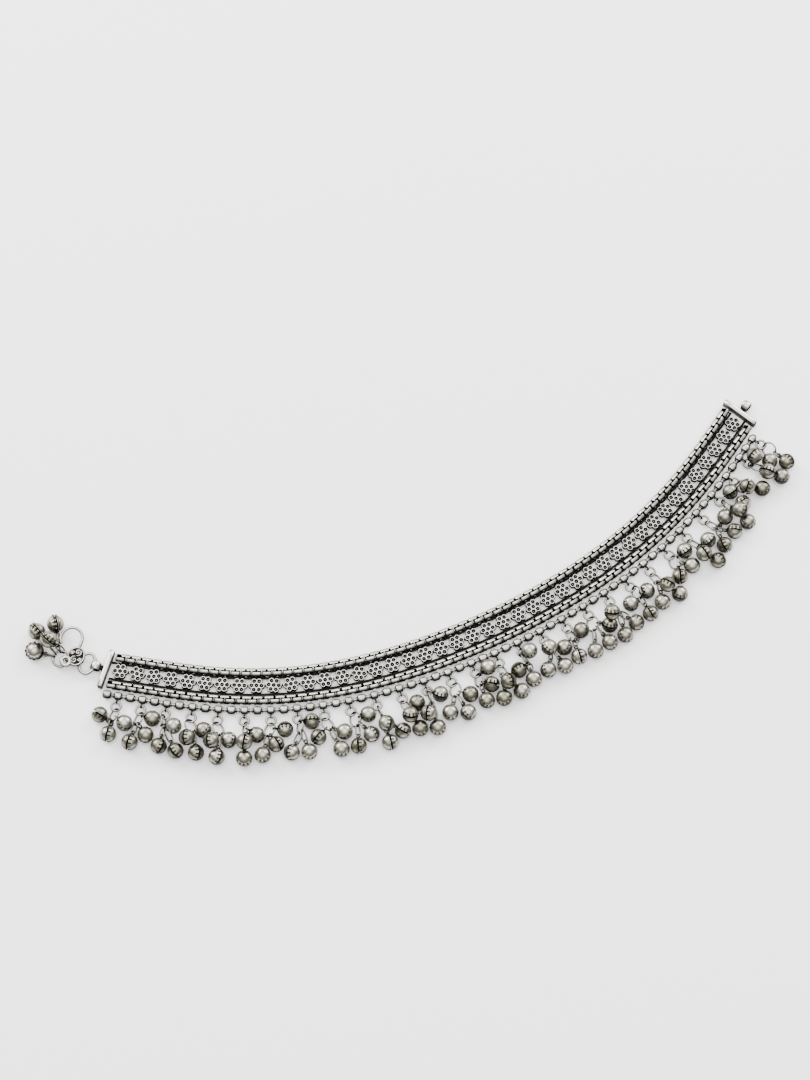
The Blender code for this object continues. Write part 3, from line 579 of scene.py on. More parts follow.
flower_along, flower_centre, flower_ahead, flower_beside = flower_frames()
flower_parts = [flower_cells(flower_centre, flower_ahead, flower_beside)] + flower_legs(flower_along)
build("flower_cells", flower_parts, band_silver, "band_silver", "flower_row")

# %% [markdown]
# ## Beads
# Below the lower chain runs a wire with small barrel beads. Plain beads alternate with
# shorter ones that have a small eye below, with a thin washer at each end and a short
# stretch of bright wire between them. The eyes carry the rings of the bells.

# %% Beads
BEAD_ACROSS = 0.0028
BEAD_LINE = LOWER_CHAIN + CHAIN_ACROSS / 2.0 + PIECE_GAP + BEAD_ACROSS / 2.0
BEAD_HEIGHT = BEAD_ACROSS / 2.0
DROP_COUNT = 30
DROP_PITCH = 0.00816
BEAD_WIRE_RADIUS = 0.00045
FIRST_BEAD_SHIFT = 0.0004
WASHER_OFF_EYE = 0.00150
WASHER_OFF_BEAD = 0.00250
EYE_WIRE = 0.00045
EYE_ACROSS = 0.0021
EYE_BELOW = 0.00194
DROPS = (BAND - (DROP_COUNT - 1) * DROP_PITCH) / 2.0 + DROP_PITCH * np.arange(DROP_COUNT)


def strung(along, stations, radii, patina_and_shade):
    """Turned profiles threaded on the bead wire, each along the band's direction there."""
    points = turned(lay(along, BEAD_LINE, BEAD_HEIGHT), level(heading_at(along)), stations, radii, 14)
    tone = random.uniform(0.0, 0.7, (len(along), 1, 1))
    # Beads get painted shade wherever the upward part of the normal is below 0.85.
    return patch(points, np.array(patina_and_shade)[:, None], tone, shade_below=0.85)


def bead_parts():
    """Round beads, eye beads, washers and the wire, each a profile of station and radius."""
    between = DROPS - DROP_PITCH / 2.0
    between[0] += FIRST_BEAD_SHIFT
    mm = 0.001
    full = np.array([-1.42, -1.34, -0.95, -0.45, 0.45, 0.95, 1.34, 1.42]) * mm
    full_radii = np.array([0.60, 0.98, 1.28, 1.39, 1.39, 1.28, 0.98, 0.60]) * mm
    short = np.array([-1.26, -1.18, -0.80, -0.35, 0.35, 0.80, 1.18, 1.26]) * mm
    short_radii = np.array([0.62, 1.02, 1.24, 1.30, 1.30, 1.24, 1.02, 0.62]) * mm
    disc = np.array([-0.16, -0.12, 0.12, 0.16]) * mm
    disc_radii = np.array([0.60, 0.82, 0.82, 0.60]) * mm
    washers = np.concatenate((DROPS - WASHER_OFF_EYE, DROPS + WASHER_OFF_EYE,
                              DROPS[:-1] + WASHER_OFF_BEAD, DROPS[1:] - WASHER_OFF_BEAD))
    barrel = [1.0, 0.7, 0.25, 0.15, 0.15, 0.25, 0.7, 1.0]
    path = lay(np.linspace(between[0], DROPS[-1] + 0.0014, 60)[None], BEAD_LINE, BEAD_HEIGHT)
    eyes = lay(DROPS, BEAD_LINE + EYE_BELOW, BEAD_HEIGHT)
    return [
        strung(between, full, full_radii, barrel),
        strung(DROPS, short, short_radii, barrel),
        strung(washers, disc, disc_radii, [0.8, 0.35, 0.35, 0.8]),
        patch(wire(path, UP, BEAD_WIRE_RADIUS, 8), 0.0, 0.1, shade_below=WIRE_SHADE_BELOW),
        bright_rings(0.4, 0.5, eyes, level(heading_at(DROPS)), UP, EYE_ACROSS, EYE_WIRE, 16, 6),
    ]


build("bead_string", bead_parts(), bead_silver, "chain_silver", "bead_row")

# %% [markdown]
# ## Where the bells lie
# Every cluster has two or three bells, which roll down from their ring until they rest on
# the table and on each other. The chosen places of the bells are settled the same way as
# in the plain model: pulled to their places, and pushed apart wherever two come too close.

# %% Where the bells lie
RING_ACROSS = 0.0038
RING_WIRE = 0.00065
LINK_GAP = 0.0003
BELL_ACROSS = 0.0054
BELL_STEP = 0.0050
ARM_WIRE = 0.0005
BELL_GAP = 0.00035
ARM_GAP = 0.0006
SETTLE_STEPS = 1200
SETTLE_DRAW = 0.06
SETTLE_DROP = 0.02
ARM_SHARE = 0.7
LEVEL_RISE = 0.7
WALL_STEPS = 500
DROP_BELLS = (
    ((-0.9, 1.5, 0), (-0.1, 2.7, 0), (0.8, 1.8, 0)),
    ((-0.1, 2.9, 0), (0.8, 1.4, 0), (0.7, 2.4, 1)),
    ((0.1, 2.9, 0), (0.7, 1.7, 0), (1.0, 2.9, 0)),
    ((-0.1, 2.4, 1), (0.6, 3.1, 0), (0.8, 1.7, 0)),
    ((-0.2, 2.4, 1), (0.1, 3.1, 0), (0.8, 2.1, 0)),
    ((0.2, 2.3, 0), (0.1, 3.3, 0), (1.0, 1.9, 1)),
    ((-0.4, 3.0, 0), (0.3, 2.3, 0), (1.0, 1.7, 0)),
    ((-0.5, 3.0, 0), (0.5, 3.0, 0), (0.9, 1.1, 1)),
    ((-0.6, 2.2, 0), (0.7, 3.2, 0), (1.0, 2.1, 0)),
    ((0.0, 3.2, 0), (0.7, 1.4, 1), (0.9, 2.6, 0)),
    ((0.2, 2.3, 0), (0.2, 3.4, 0), (1.1, 2.9, 0)),
    ((0.2, 2.2, 0), (0.5, 3.0, 0), (0.9, 1.7, 1)),
    ((-0.4, 2.5, 1), (-0.3, 3.2, 0), (0.9, 1.4, 0)),
    ((-0.8, 2.7, 0), (0.2, 3.1, 0), (0.7, 2.2, 0)),
    ((-0.1, 2.4, 0), (0.6, 2.0, 1), (0.8, 1.0, 1)),
    ((-0.7, 3.1, 0), (-0.1, 2.4, 0), (0.5, 3.0, 0)),
    ((-0.8, 1.8, 1), (-0.1, 2.8, 0), (0.3, 1.0, 1)),
    ((-0.9, 2.7, 0), (0.0, 1.5, 1), (0.3, 2.9, 0)),
    ((-0.8, 1.8, 0), (-0.2, 2.9, 0), (0.9, 1.5, 1)),
    ((-0.9, 3.0, 0), (-0.1, 3.0, 0), (0.5, 2.3, 0)),
    ((-0.7, 1.8, 1), (-0.6, 3.0, 0), (0.3, 3.0, 0)),
    ((-0.6, 1.7, 0), (-0.1, 3.0, 0), (0.7, 1.7, 0)),
    ((-0.9, 2.9, 0), (0.1, 2.4, 1), (0.3, 3.1, 0)),
    ((-0.4, 2.3, 0), (0.4, 2.2, 0), (0.7, 1.4, 1)),
    ((-0.2, 2.5, 0), (0.1, 3.2, 0), (0.8, 1.9, 0)),
    ((-0.5, 2.9, 0), (0.6, 1.8, 0), (0.6, 2.8, 0)),
    ((-0.1, 3.0, 0), (0.1, 2.3, 1), (0.7, 1.8, 0)),
    ((-0.7, 1.1, 1), (0.0, 1.7, 0), (0.6, 2.5, 0)),
    ((0.1, 2.2, 0), (0.5, 1.0, 1), (0.4, 3.1, 0)),
    ((-0.5, 1.8, 0), (-0.2, 2.8, 0)),
)


def nearest_on_segment(points, start, end):
    """Closest places on straight wires: the start plus the run times the point's share of it."""
    run = end - start
    share = np.sum((points - start) * run, axis=-1) / np.maximum(np.sum(run * run, axis=-1), 1e-12)
    return start + np.clip(share, 0.0, 1.0)[..., None] * run


def moved_off(off, wanted, others=1.0):
    """Moves along the offsets by what their lengths lack of the wanted one, where others is 1."""
    distance = np.linalg.norm(off, axis=-1) + (1.0 - others)
    short = np.maximum(wanted - distance, 0.0) * others
    return off / distance[..., None] * short[..., None]


def settle(wanted, ring_middles, ring_radius, ring_wire, bell, wall):
    """Bells moved apart until none meets another bell, a ring, a wire, a wall or the table.

    Every pass draws the bells a share of the way to their places and down, and pushes each
    away from what is too near by as much as it lacks. The second half of the passes only
    pushes.
    """
    centres = wanted.copy()
    radius = bell / 2.0
    bodies = np.unique(ring_middles, axis=0)
    count = len(centres)
    others = 1.0 - np.eye(count)
    for step in range(SETTLE_STEPS):
        if step < SETTLE_STEPS // 2:
            centres[:, :2] += SETTLE_DRAW * (wanted[:, :2] - centres[:, :2])
            centres[:, 2] -= SETTLE_DROP * radius
        apart = centres[:, None] - centres[None]
        push = 0.5 * moved_off(apart, bell + BELL_GAP, others).sum(axis=1)
        to_ring = centres[:, None] - bodies[None]
        flat = np.linalg.norm(to_ring[..., :2], axis=2)
        rim = bodies[None] + to_ring * np.array([1.0, 1.0, 0.0]) * (ring_radius / flat)[..., None]
        push += moved_off(centres[:, None] - rim, radius + ring_wire / 2.0 + BELL_GAP).sum(axis=1)
        starts = ring_middles.copy()
        starts[:, :2] += unit(centres[:, :2] - ring_middles[:, :2]) * ring_radius
        off = centres[:, None] - nearest_on_segment(centres[:, None], starts[None], centres[None])
        push += ARM_SHARE * moved_off(off, radius + ARM_WIRE / 2.0 + ARM_GAP, others).sum(axis=1)
        off = centres[:, None] - wall[0][None]
        nearest = np.argmin(np.linalg.norm(off, axis=2), axis=1)
        push += moved_off(off[np.arange(count), nearest], radius + wall[1] + BELL_GAP)
        centres += push
        centres[:, 2] = np.maximum(centres[:, 2], radius)
    return centres


RING_REACH = BEAD_ACROSS / 2.0 + LINK_GAP + RING_WIRE / 2.0 + (RING_ACROSS - RING_WIRE) / 2.0
drop_rings = lay(DROPS, BEAD_LINE + RING_REACH, BEAD_HEIGHT)
owner = np.repeat(np.arange(DROP_COUNT), [len(bells) for bells in DROP_BELLS])
chosen = np.array([bell for bells in DROP_BELLS for bell in bells])
bell_middles = settle(
    lay(DROPS[owner] + chosen[:, 0] * BELL_STEP, BEAD_LINE + chosen[:, 1] * BELL_STEP,
        BELL_ACROSS * (0.5 + LEVEL_RISE * chosen[:, 2])),
    drop_rings[owner], (RING_ACROSS - RING_WIRE) / 2.0, RING_WIRE, BELL_ACROSS,
    (lay(np.linspace(0.0, BAND, WALL_STEPS), BEAD_LINE, BEAD_HEIGHT), BEAD_ACROSS / 2.0),
)
print(len(bell_middles), "bells, highest middle", bell_middles[:, 2].max())

# %% [markdown]
# ## The shape of a bell
# Each bell is pressed from two round halves that meet along a slit. The slit is open
# for two thirds of the way round and closed beside the eye that the bell hangs by, and
# one half has short cuts beside it, like a seam. A loose pellet inside does the ringing.

# %% The shape of a bell
BELL_COLUMNS = 72
BELL_CUTS = 12
SLIT_ENDS = math.radians(128.0)
SLIT_FADE = 0.12
SLIT_DEPTH = 0.32
SEAM_DEPTH = 0.03
RIM = 0.022
CUT_DEPTH = 0.05
RIM_CUT = 0.02
CAP = 0.7
CAP_EDGE = 0.84
CAP_FADE = 0.1
PLAIN_ROWS = (-86.0, -72.0, -58.0, -44.0, -30.0, -20.0)
RIM_ROWS = (-6.0, -3.5, -0.8, 0.0)
CUT_ROWS = (0.7, 1.6, 15.0, 17.0)
FAR_ROWS = (40.0, 50.0, 62.0, 74.0, 86.0)


def bell_shapes(centre, eye, face, radius, slit, tone, rim_rows=RIM_ROWS, rim=RIM, groove=0.0):
    """Round bells: a point at latitude l from the slit and angle a from the side away from the eye.

    It lies at the middle plus radius times r times (sin l times face, plus cos l times
    (-cos a times eye + sin a times the direction beside it)). The share r is 1, more by the
    rim's height beside the slit, less by the slit's depth between its two edges, and less by
    the cuts' depth at every sixth column. The black of the cap grows where the direction
    lies within about thirty degrees of the eye's.
    """
    rim_rows = np.array(rim_rows)
    cut_rows = slit - rim_rows[0] + np.array(CUT_ROWS)
    latitude = np.concatenate((PLAIN_ROWS, rim_rows - slit, slit - rim_rows[::-1], cut_rows, FAR_ROWS))
    first = len(PLAIN_ROWS)
    middle = first + len(RIM_ROWS)
    last = middle + len(RIM_ROWS)
    a = np.linspace(-math.pi, math.pi, BELL_COLUMNS, endpoint=False)
    opened = np.clip((SLIT_ENDS - np.abs(a)) / SLIT_FADE + 0.5, 0.0, 1.0)
    row = np.arange(len(latitude))[:, None]
    in_slit = 1.0 * np.isin(row, (middle - 1, middle))
    on_rim = 1.0 * np.isin(row, (middle - 3, middle - 2, middle + 1, middle + 2))
    in_cut = 1.0 * np.isin(row, (last + 1, last + 2))
    cut_ends = 1.0 * np.isin(row, (last, last + 3))
    foot = 1.0 * np.isin(row, (first, last - 1))
    phase = np.arange(BELL_COLUMNS) % (BELL_COLUMNS // BELL_CUTS)
    cut = np.where(phase == 0, 1.0, np.where((phase == 1) | (phase == 5), 0.6, 0.0))
    beyond = (row > middle) * cut
    share = 1.0 + rim * on_rim - in_slit * (SEAM_DEPTH + SLIT_DEPTH * opened)
    share = share - CUT_DEPTH * in_cut * cut - (rim + RIM_CUT) * on_rim * beyond
    # The open part of the slit is painted fully black, a painted shade for the dark inside of the bell; the
    # closed seam keeps a little less, as patina.
    patina_and_shade = in_slit * (0.6 + 0.4 * opened) + (in_cut + 0.3 * cut_ends + on_rim) * beyond + 0.7 * foot
    patina_and_shade = patina_and_shade + groove * np.isin(row, (first + 1, middle + 2))
    face = cross_part(face, eye)
    beside = np.cross(eye, face)
    l = np.radians(latitude)[:, None, None]
    patina_and_shade = patina_and_shade + CAP * np.clip((-np.cos(a) * np.cos(l[..., 0]) - CAP_EDGE) / CAP_FADE, 0.0, 1.0)
    around = -np.cos(a)[:, None] * eye[:, None, None] + np.sin(a)[:, None] * beside[:, None, None]
    reach = radius * share[None, :, :, None]
    points = centre[:, None, None] + reach * (np.sin(l) * face[:, None, None] + np.cos(l) * around)
    return patch(points, np.minimum(patina_and_shade, 1.0), np.reshape(tone, (-1, 1, 1)))


# %% [markdown]
# ## Hanging the bells
# A bell has a small wire eye. The eyes of a cluster are threaded on one thin ring, which
# hangs in the stouter ring below the beads. Where a bell has rolled further away, a small
# extra link bridges the rest. The thin ring's tilt is found by trying many and keeping
# the one that reaches the bells best and stays clear of everything.

# %% Hanging the bells
THIN_WIRE = 0.00062
EYE_LOOP = 0.00185
LOOP_WIRE = 0.00055
EYE_STAND = 0.00065
LOWEST_EYE = 0.0010
EYE_SPACING = 0.0011
SHORTEST_LINK = 0.0004
WIDEST_LINK = 0.0021
STEM_RADII = (0.0010, 0.0006, 0.00030)
THIN_SEAT = 0.00062
THIN_ROOM = 0.0006
STOUT_ROOM = 0.00058
TABLE_ROOM = 0.00025
RINGS_NEAR = 0.012
CIRCLE_STEPS = 28
TRIES = 1500


def circles(centre, out, beside, radius):
    """Points round circles: the middle minus radius times cos u times out, plus sin u times beside."""
    u = round_angles(CIRCLE_STEPS)[:, None]
    radius = np.reshape(radius, (-1, 1, 1))
    return centre[:, None] + radius * (-np.cos(u) * out[:, None] + np.sin(u) * beside[:, None])


def shortfall(points, others, wanted):
    """Sum of squares of what the distances between two sets of points lack of the wanted ones."""
    distance = np.linalg.norm(points[:, :, None] - others[None, None], axis=-1)
    return (np.maximum(wanted - distance, 0.0) ** 2).sum(axis=(1, 2))


def thin_ring(middle, own, near, taken):
    """Middle, outward and sideward direction and radius of the thin ring of one cluster.

    The ring passes through the stout ring at its far side. Of many random rings the one
    with the least cost is kept: squares of the distances still missing to its own bells,
    and of what it lacks in room to bells, stout rings, earlier rings and the table.
    """
    mean = own.mean(axis=0) - middle
    lead = math.atan2(mean[1], mean[0]) + random.uniform(-1.0, 1.0, TRIES)
    rise = random.uniform(-0.2, 0.9, TRIES)
    roll = random.uniform(-0.9, 0.9, TRIES)
    radius = random.uniform(0.0016, 0.0024, TRIES)
    flat = level(lead)
    out = np.cos(rise)[:, None] * flat + np.sin(rise)[:, None] * UP
    upright = cross_part(np.broadcast_to(UP, out.shape), out)
    beside = np.cos(roll)[:, None] * upright + np.sin(roll)[:, None] * np.cross(out, upright)
    stout = (RING_ACROSS - RING_WIRE) / 2.0
    centre = middle + (stout - THIN_SEAT) * flat + radius[:, None] * out
    points = circles(centre, out, beside, radius)
    reach = np.linalg.norm(points[:, :, None] - own[None, None], axis=-1).min(axis=1)
    cost = (np.maximum(reach - BELL_ACROSS / 2.0 - EYE_STAND, 0.0) ** 2).sum(axis=1)
    cost += 8.0 * shortfall(points, near, BELL_ACROSS / 2.0 + BELL_GAP)
    cost += 8.0 * shortfall(points, taken, THIN_ROOM)
    cost += 20.0 * (np.maximum(TABLE_ROOM - points[..., 2], 0.0) ** 2).sum(axis=1)
    for ring in drop_rings[np.linalg.norm(drop_rings - middle, axis=1) < RINGS_NEAR]:
        off = points - ring
        tube = np.hypot(np.linalg.norm(off[..., :2], axis=-1) - stout, off[..., 2])
        cost += 20.0 * (np.maximum(STOUT_ROOM - tube, 0.0) ** 2).sum(axis=1)
    best = np.argmin(cost)
    return centre[best], out[best], beside[best], radius[best]


def hang_on(circle, middles, radius):
    """Eyes, links and stems that join bells to a ring, and the direction of each bell's eye.

    Each bell takes the ring's point nearest to it that no other bell has. A bell within
    reach has its eye there. For one that is further off, an oval link runs from the ring
    to the eye, its plane turned so that it takes in both wires.
    """
    tangent = unit(np.roll(circle, -1, axis=0) - np.roll(circle, 1, axis=0))
    parts = []
    looks = []
    used = []
    for middle in middles:
        away = np.linalg.norm(circle - middle, axis=1)
        crowd = sum((np.linalg.norm(circle - circle[k], axis=1) < EYE_SPACING) * 0.01 for k in used)
        at = int(np.argmin(away + crowd + 4.0 * np.maximum(LOWEST_EYE - circle[:, 2], 0.0)))
        used.append(at)
        towards = unit(circle[at] - middle)
        looks.append(towards)
        through = cross_part(tangent[at], towards)
        spare = away[at] - radius - EYE_STAND
        eye = circle[at]
        if spare > SHORTEST_LINK:
            eye = middle + towards * (radius + EYE_STAND)
            link = spare + 2.0 * LOOP_WIRE + THIN_WIRE
            share = min(1.0, WIDEST_LINK / link)
            parts.append(bright_rings(0.0, 0.3, (eye + circle[at]) / 2.0, through, towards, link, LOOP_WIRE,
                                      20, 6, share))
            through = np.cross(towards, through)
        parts.append(bright_rings(0.15, 0.4, eye, through, towards, EYE_LOOP, LOOP_WIRE, 14, 6))
        stem = np.stack((middle + towards * (radius * 0.9), middle + towards * radius,
                         eye - towards * (EYE_LOOP - LOOP_WIRE) / 2.0))
        parts.append(patch(wire(stem[None], through, STEM_RADII, 8), 0.8, 0.5))
    return parts, np.array(looks)


# %% [markdown]
# ## Thirty clusters
# In the photographed piece some bells show a smooth half and others their slit, as each
# came to rest. The turn of every bell about its eye is given one by one to match: 0 shows a
# half from above and 90 the slit.

# %% Thirty clusters
STOUT_WIRE = 0.00075
BELLS_NEAR = 0.025
TAKEN_NEAR = 0.02
BELL_SLIT = 6.5
BELL_TURNS = (
    (100, 90, 20), (85, 15, -15), (-55, 10, 60), (65, -60, 25), (55, -50, -25), (90, 0, 20),
    (-10, 100, -65), (60, 12, 90), (88, 15, -12), (85, 10, -55), (-50, 95, 70), (30, -20, 8),
    (75, -8, 50), (5, 40, -30), (25, 80, -5), (-20, -60, 15), (65, -15, 10), (35, -20, 10),
    (-35, 90, 15), (20, -30, 45), (-20, 25, -50), (15, 80, -25), (20, -80, 30), (90, -15, 60),
    (90, -60, 50), (65, -10, 85), (20, -25, 95), (120, 88, 15), (75, -60, 20), (10, -60),
)


def faces_of(eye, turn):
    """Directions of the bells' plain halves: cos of the turn times upright, and sin of it
    times the direction beside the eye."""
    upright = cross_part(np.broadcast_to(UP, eye.shape), eye)
    turn = np.radians(np.asarray(turn, float))[:, None]
    return np.cos(turn) * upright + np.sin(turn) * np.cross(eye, upright)


def cluster(number, taken):
    """Stout ring, thin ring, links and bells of one cluster, and the thin ring's points."""
    middle = drop_rings[number]
    own = bell_middles[owner == number]
    near = bell_middles[np.linalg.norm(bell_middles - middle, axis=1) < BELLS_NEAR]
    near_taken = taken[np.linalg.norm(taken - middle, axis=1) < TAKEN_NEAR]
    centre, out, beside, radius = thin_ring(middle, own, near, near_taken)
    circle = circles(centre[None], out[None], beside[None], radius)[0]
    parts, looks = hang_on(circle, own, BELL_ACROSS / 2.0)
    ahead = level(heading_at(DROPS[number]))
    thin_across = 2.0 * radius + THIN_WIRE
    parts.append(bright_rings(0.0, 0.0, middle, UP, ahead, RING_ACROSS, STOUT_WIRE, 32, 8))
    parts.append(bright_rings(0.0, 0.1, centre, np.cross(out, beside), out, thin_across, THIN_WIRE, 32, 8))
    tone = random.uniform(0.0, 1.0, len(own)) ** 0.8
    faces = faces_of(looks, BELL_TURNS[number])
    parts.append(bell_shapes(own, looks, faces, BELL_ACROSS / 2.0, BELL_SLIT, tone))
    build(f"bells_{number + 1:02d}", parts, bell_silver, "bell_silver", f"bell_drop_{number + 1:02d}")
    return circle


taken = np.zeros((0, 3))
for number in range(DROP_COUNT):
    taken = np.concatenate((taken, cluster(number, taken)))

# %% [markdown]
# ## End bars
# A square bar closes each end of the band, and a strip bent into an eye is soldered to it
# by a short neck. The clasp hooks into the right eye. The bar's top is left bright, and its
# sides, its ends and the neck are darker.

# %% End bars
BAR_LENGTH = 0.0132
BAR_HEIGHT = 0.0034
BAR_CHAMFER = 0.00022
STRIP_WIDTH = 0.0027
MID = BAR_HEIGHT / 2.0
NECK_RADIUS = 0.0010
NECK_INTO = 0.0002
LEFT_H = float(heading_at(0.0)) + LEFT_TURN
RIGHT_H = float(heading_at(BAND)) + RIGHT_TURN


def axes_of(h):
    """Unit directions along a heading and beside it, away from the bells."""
    return level(h), np.cross(UP, level(h))


def end_bar(name, node_name, along, h, outward):
    """Bar, neck and strip eye.

    The bar is a chamfered rectangle carried along its length, drawn in a little at both
    ends. The eye is a flat rectangle carried round a circle in the upright plane. The neck
    is a profile turned about the band's direction.
    """
    ahead, beside = axes_of(h)
    centre = lay(along, 0.0, MID)
    x, z, c = BAR_WIDTH / 2.0, BAR_HEIGHT / 2.0, BAR_CHAMFER
    section = np.array([(x, -z + c), (x, z - c), (x - c, z), (-x + c, z), (-x, z - c), (-x, -z + c),
                        (-x + c, -z), (x - c, -z)])
    share = np.array([-1.0, -0.985, -0.97, -0.5, 0.0, 0.5, 0.97, 0.985, 1.0])[:, None, None]
    draw = np.array([0.80, 0.93, 1.0, 1.0, 1.0, 1.0, 1.0, 0.93, 0.80])[:, None, None]
    points = (centre + BAR_LENGTH / 2.0 * share * beside + draw * section[None, :, :1] * ahead
              + draw * section[None, :, 1:] * UP)
    patina_and_shade = np.array([0.95, 0.3, 0.0, 0.0, 0.3, 0.95, 1.0, 1.0]) + (np.abs(share[..., 0]) > 0.98) * 0.8
    parts = [patch(points[None], np.minimum(patina_and_shade, 1.0), 0.1)]
    eye = centre + outward * EYE_OUT * ahead
    half, t = STRIP_WIDTH / 2.0, STRIP_THICKNESS
    u = round_angles(28)[:, None, None]
    depth = np.array([0.0, 0.0, -t / 2.0, -t, -t, -t / 2.0]) + STRIP_ACROSS / 2.0
    width = np.array([-half + c, half - c, half, half - c, -half + c, -half])
    round_it = np.cos(u) * ahead + np.sin(u) * UP
    points = eye + depth[:, None] * round_it + width[:, None] * beside
    parts.append(patch(points[None], np.array([0.1, 0.1, 0.6, 1.0, 1.0, 0.6]), 0.1, ring=True))
    start = BAR_WIDTH / 2.0 - NECK_INTO
    stations = outward * (start + (NECK_LENGTH + 2.0 * NECK_INTO) * np.array([0.0, 0.3, 0.5, 0.7, 1.0]))
    radii = NECK_RADIUS * np.array([0.9, 0.9, 1.0, 0.9, 0.7])
    parts.append(patch(turned(centre, ahead, stations, radii, 12), 0.9, 0.6))
    build(name, parts, clasp_silver, "clasp_silver", node_name)


end_bar("left_bar", "left_end_bar", 0.0, LEFT_H, -1.0)
end_bar("right_bar", "right_end_bar", BAND, RIGHT_H, 1.0)

# %% [markdown]
# ## The clasp
# An oval ring joins the left eye to a cast plate with a scrollwork relief. A round wire
# hook rises from the plate, and at its far side the plate ends in a smooth open lobe. A
# second ring there carries four larger bells.

# %% The clasp
PLATE_LONG = 0.0078
PLATE_THICKNESS = 0.0012
PLATE_DOME = 0.0003
PLATE_TOP_ROWS = 26
RIDGE_HEIGHT = 0.00024
RIDGE_WIDTH = 0.00019
SCROLLS = (
    (-0.0003, -0.0014, 0.0012, 1.3, 1.6), (0.0003, 0.0014, 0.0012, 1.3, 4.7),
    (0.0015, -0.0007, 0.0007, 1.1, 3.6), (-0.0015, 0.0007, 0.0007, 1.1, 0.5),
)
RELIEF_LONG = 0.0068
RELIEF_SHORT = 0.0059
RELIEF_OUT = -0.0004
RELIEF_DOWN = -0.0005
LOBE_OUT = 0.0024
LOBE_DOWN = 0.0020
LOBE_ACROSS = 0.0041
LOBE_WIRE = 0.0013
OVAL_LONG = 0.0080
HOOK_WIRE = 0.0010
HOOK_SPAN = 0.0072
HOOK_RISE = 0.0076
HOOK_STEM = 0.0020
HOOK_STEM_SHIFT = 0.0004
HOOK_SWEEP = 222.0
STAPLE_WIRE = 0.0006
STAPLE_SPACE = 0.0008
PLATE_SHIFT = -0.0003
CLASP_SHIFT = 0.0011
CLASP_RING_WIRE = 0.0008
FIRST_OUT = OVAL_OUT + (OVAL_SHORT - OVAL_WIRE) / 2.0
SECOND_OUT = (FIRST_OUT + OVAL_WIRE / 2.0 + LINK_GAP + STAPLE_WIRE + STAPLE_SPACE
              + STAPLE_WIRE + LINK_GAP + CLASP_RING_WIRE / 2.0)
PLATE_OUT = (FIRST_OUT + SECOND_OUT) / 2.0
PLATE_HEIGHT = MID + OVAL_WIRE / 2.0 + LINK_GAP + PLATE_THICKNESS / 2.0


def hook_path(steps):
    """A stem from the plate, then an oval arch whose angle runs from 180 degrees down past 0."""
    stem = PLATE_OUT - HOOK_STEM_SHIFT
    top = PLATE_SHIFT - PLATE_LONG / 2.0 - HOOK_STEM
    a = np.radians(180.0 - HOOK_SWEEP * np.linspace(0.0, 1.0, steps + 1))
    out = stem + HOOK_SPAN / 2.0 + HOOK_SPAN / 2.0 * np.cos(a)
    down = top - HOOK_RISE / 2.0 * np.sin(a)
    first = clasp_lay(stem, PLATE_SHIFT - PLATE_LONG / 4.0, PLATE_HEIGHT)
    return np.concatenate((first[None], clasp_lay(out, down, PLATE_HEIGHT)))


def spiral(x, y, size, turns, start):
    """Points of a flat spiral: its radius shrinks evenly as its angle grows."""
    t = np.linspace(0.0, 1.0, 40)
    angle = start + 2.0 * math.pi * turns * t
    radius = size * (1.0 - 0.85 * t)
    return np.stack((x + radius * np.cos(angle), y + radius * np.sin(angle)), axis=-1)


def plate_points():
    """Oval plate on a grid of rings from its middle to its rim, over the edge and back below.

    The height of the top is a low dome, a raised rim, and a ridge along each spiral that
    falls off as exp(-(distance / width) squared).
    """
    share = np.concatenate((np.linspace(0.05, 0.98, PLATE_TOP_ROWS), [1.0, 0.96, 0.5, 0.1]))[:, None]
    a = round_angles(64)
    out = RELIEF_SHORT / 2.0 * share * np.cos(a)
    down = RELIEF_LONG / 2.0 * share * np.sin(a)
    scrolls = np.concatenate([spiral(*scroll) for scroll in SCROLLS])
    distance = np.hypot(out[..., None] - scrolls[:, 0], down[..., None] - scrolls[:, 1]).min(axis=-1)
    ridge = np.exp(-(distance / RIDGE_WIDTH) ** 2)
    rim = np.exp(-((share - 0.9) / 0.07) ** 2)
    raised = np.maximum(ridge, rim)
    top = PLATE_THICKNESS * 0.30 + PLATE_DOME * (1.0 - share ** 2) + RIDGE_HEIGHT * raised
    on_top = np.arange(len(share))[:, None] < PLATE_TOP_ROWS
    height = np.where(on_top, top, -PLATE_THICKNESS * 0.45)
    height[PLATE_TOP_ROWS] = 0.0
    points = clasp_lay(PLATE_OUT + RELIEF_OUT + out, PLATE_SHIFT + RELIEF_DOWN + down, PLATE_HEIGHT + height)
    patina_and_shade = np.where(on_top, 1.0 - raised, 0.6)
    return points[None], patina_and_shade


def staple(out, down, held):
    """Half ring below the plate round a wire, with straight legs up into it."""
    reach = held / 2.0 + LINK_GAP + STAPLE_WIRE / 2.0
    a = np.linspace(0.0, math.pi, 13)
    outs = np.concatenate(([out - reach], out - reach * np.cos(a), [out + reach]))
    heights = np.concatenate(([PLATE_HEIGHT], MID - reach * np.sin(a), [PLATE_HEIGHT]))
    return wire(clasp_lay(outs, down, heights)[None], axes_of(LEFT_H)[1], STAPLE_WIRE / 2.0, 8)


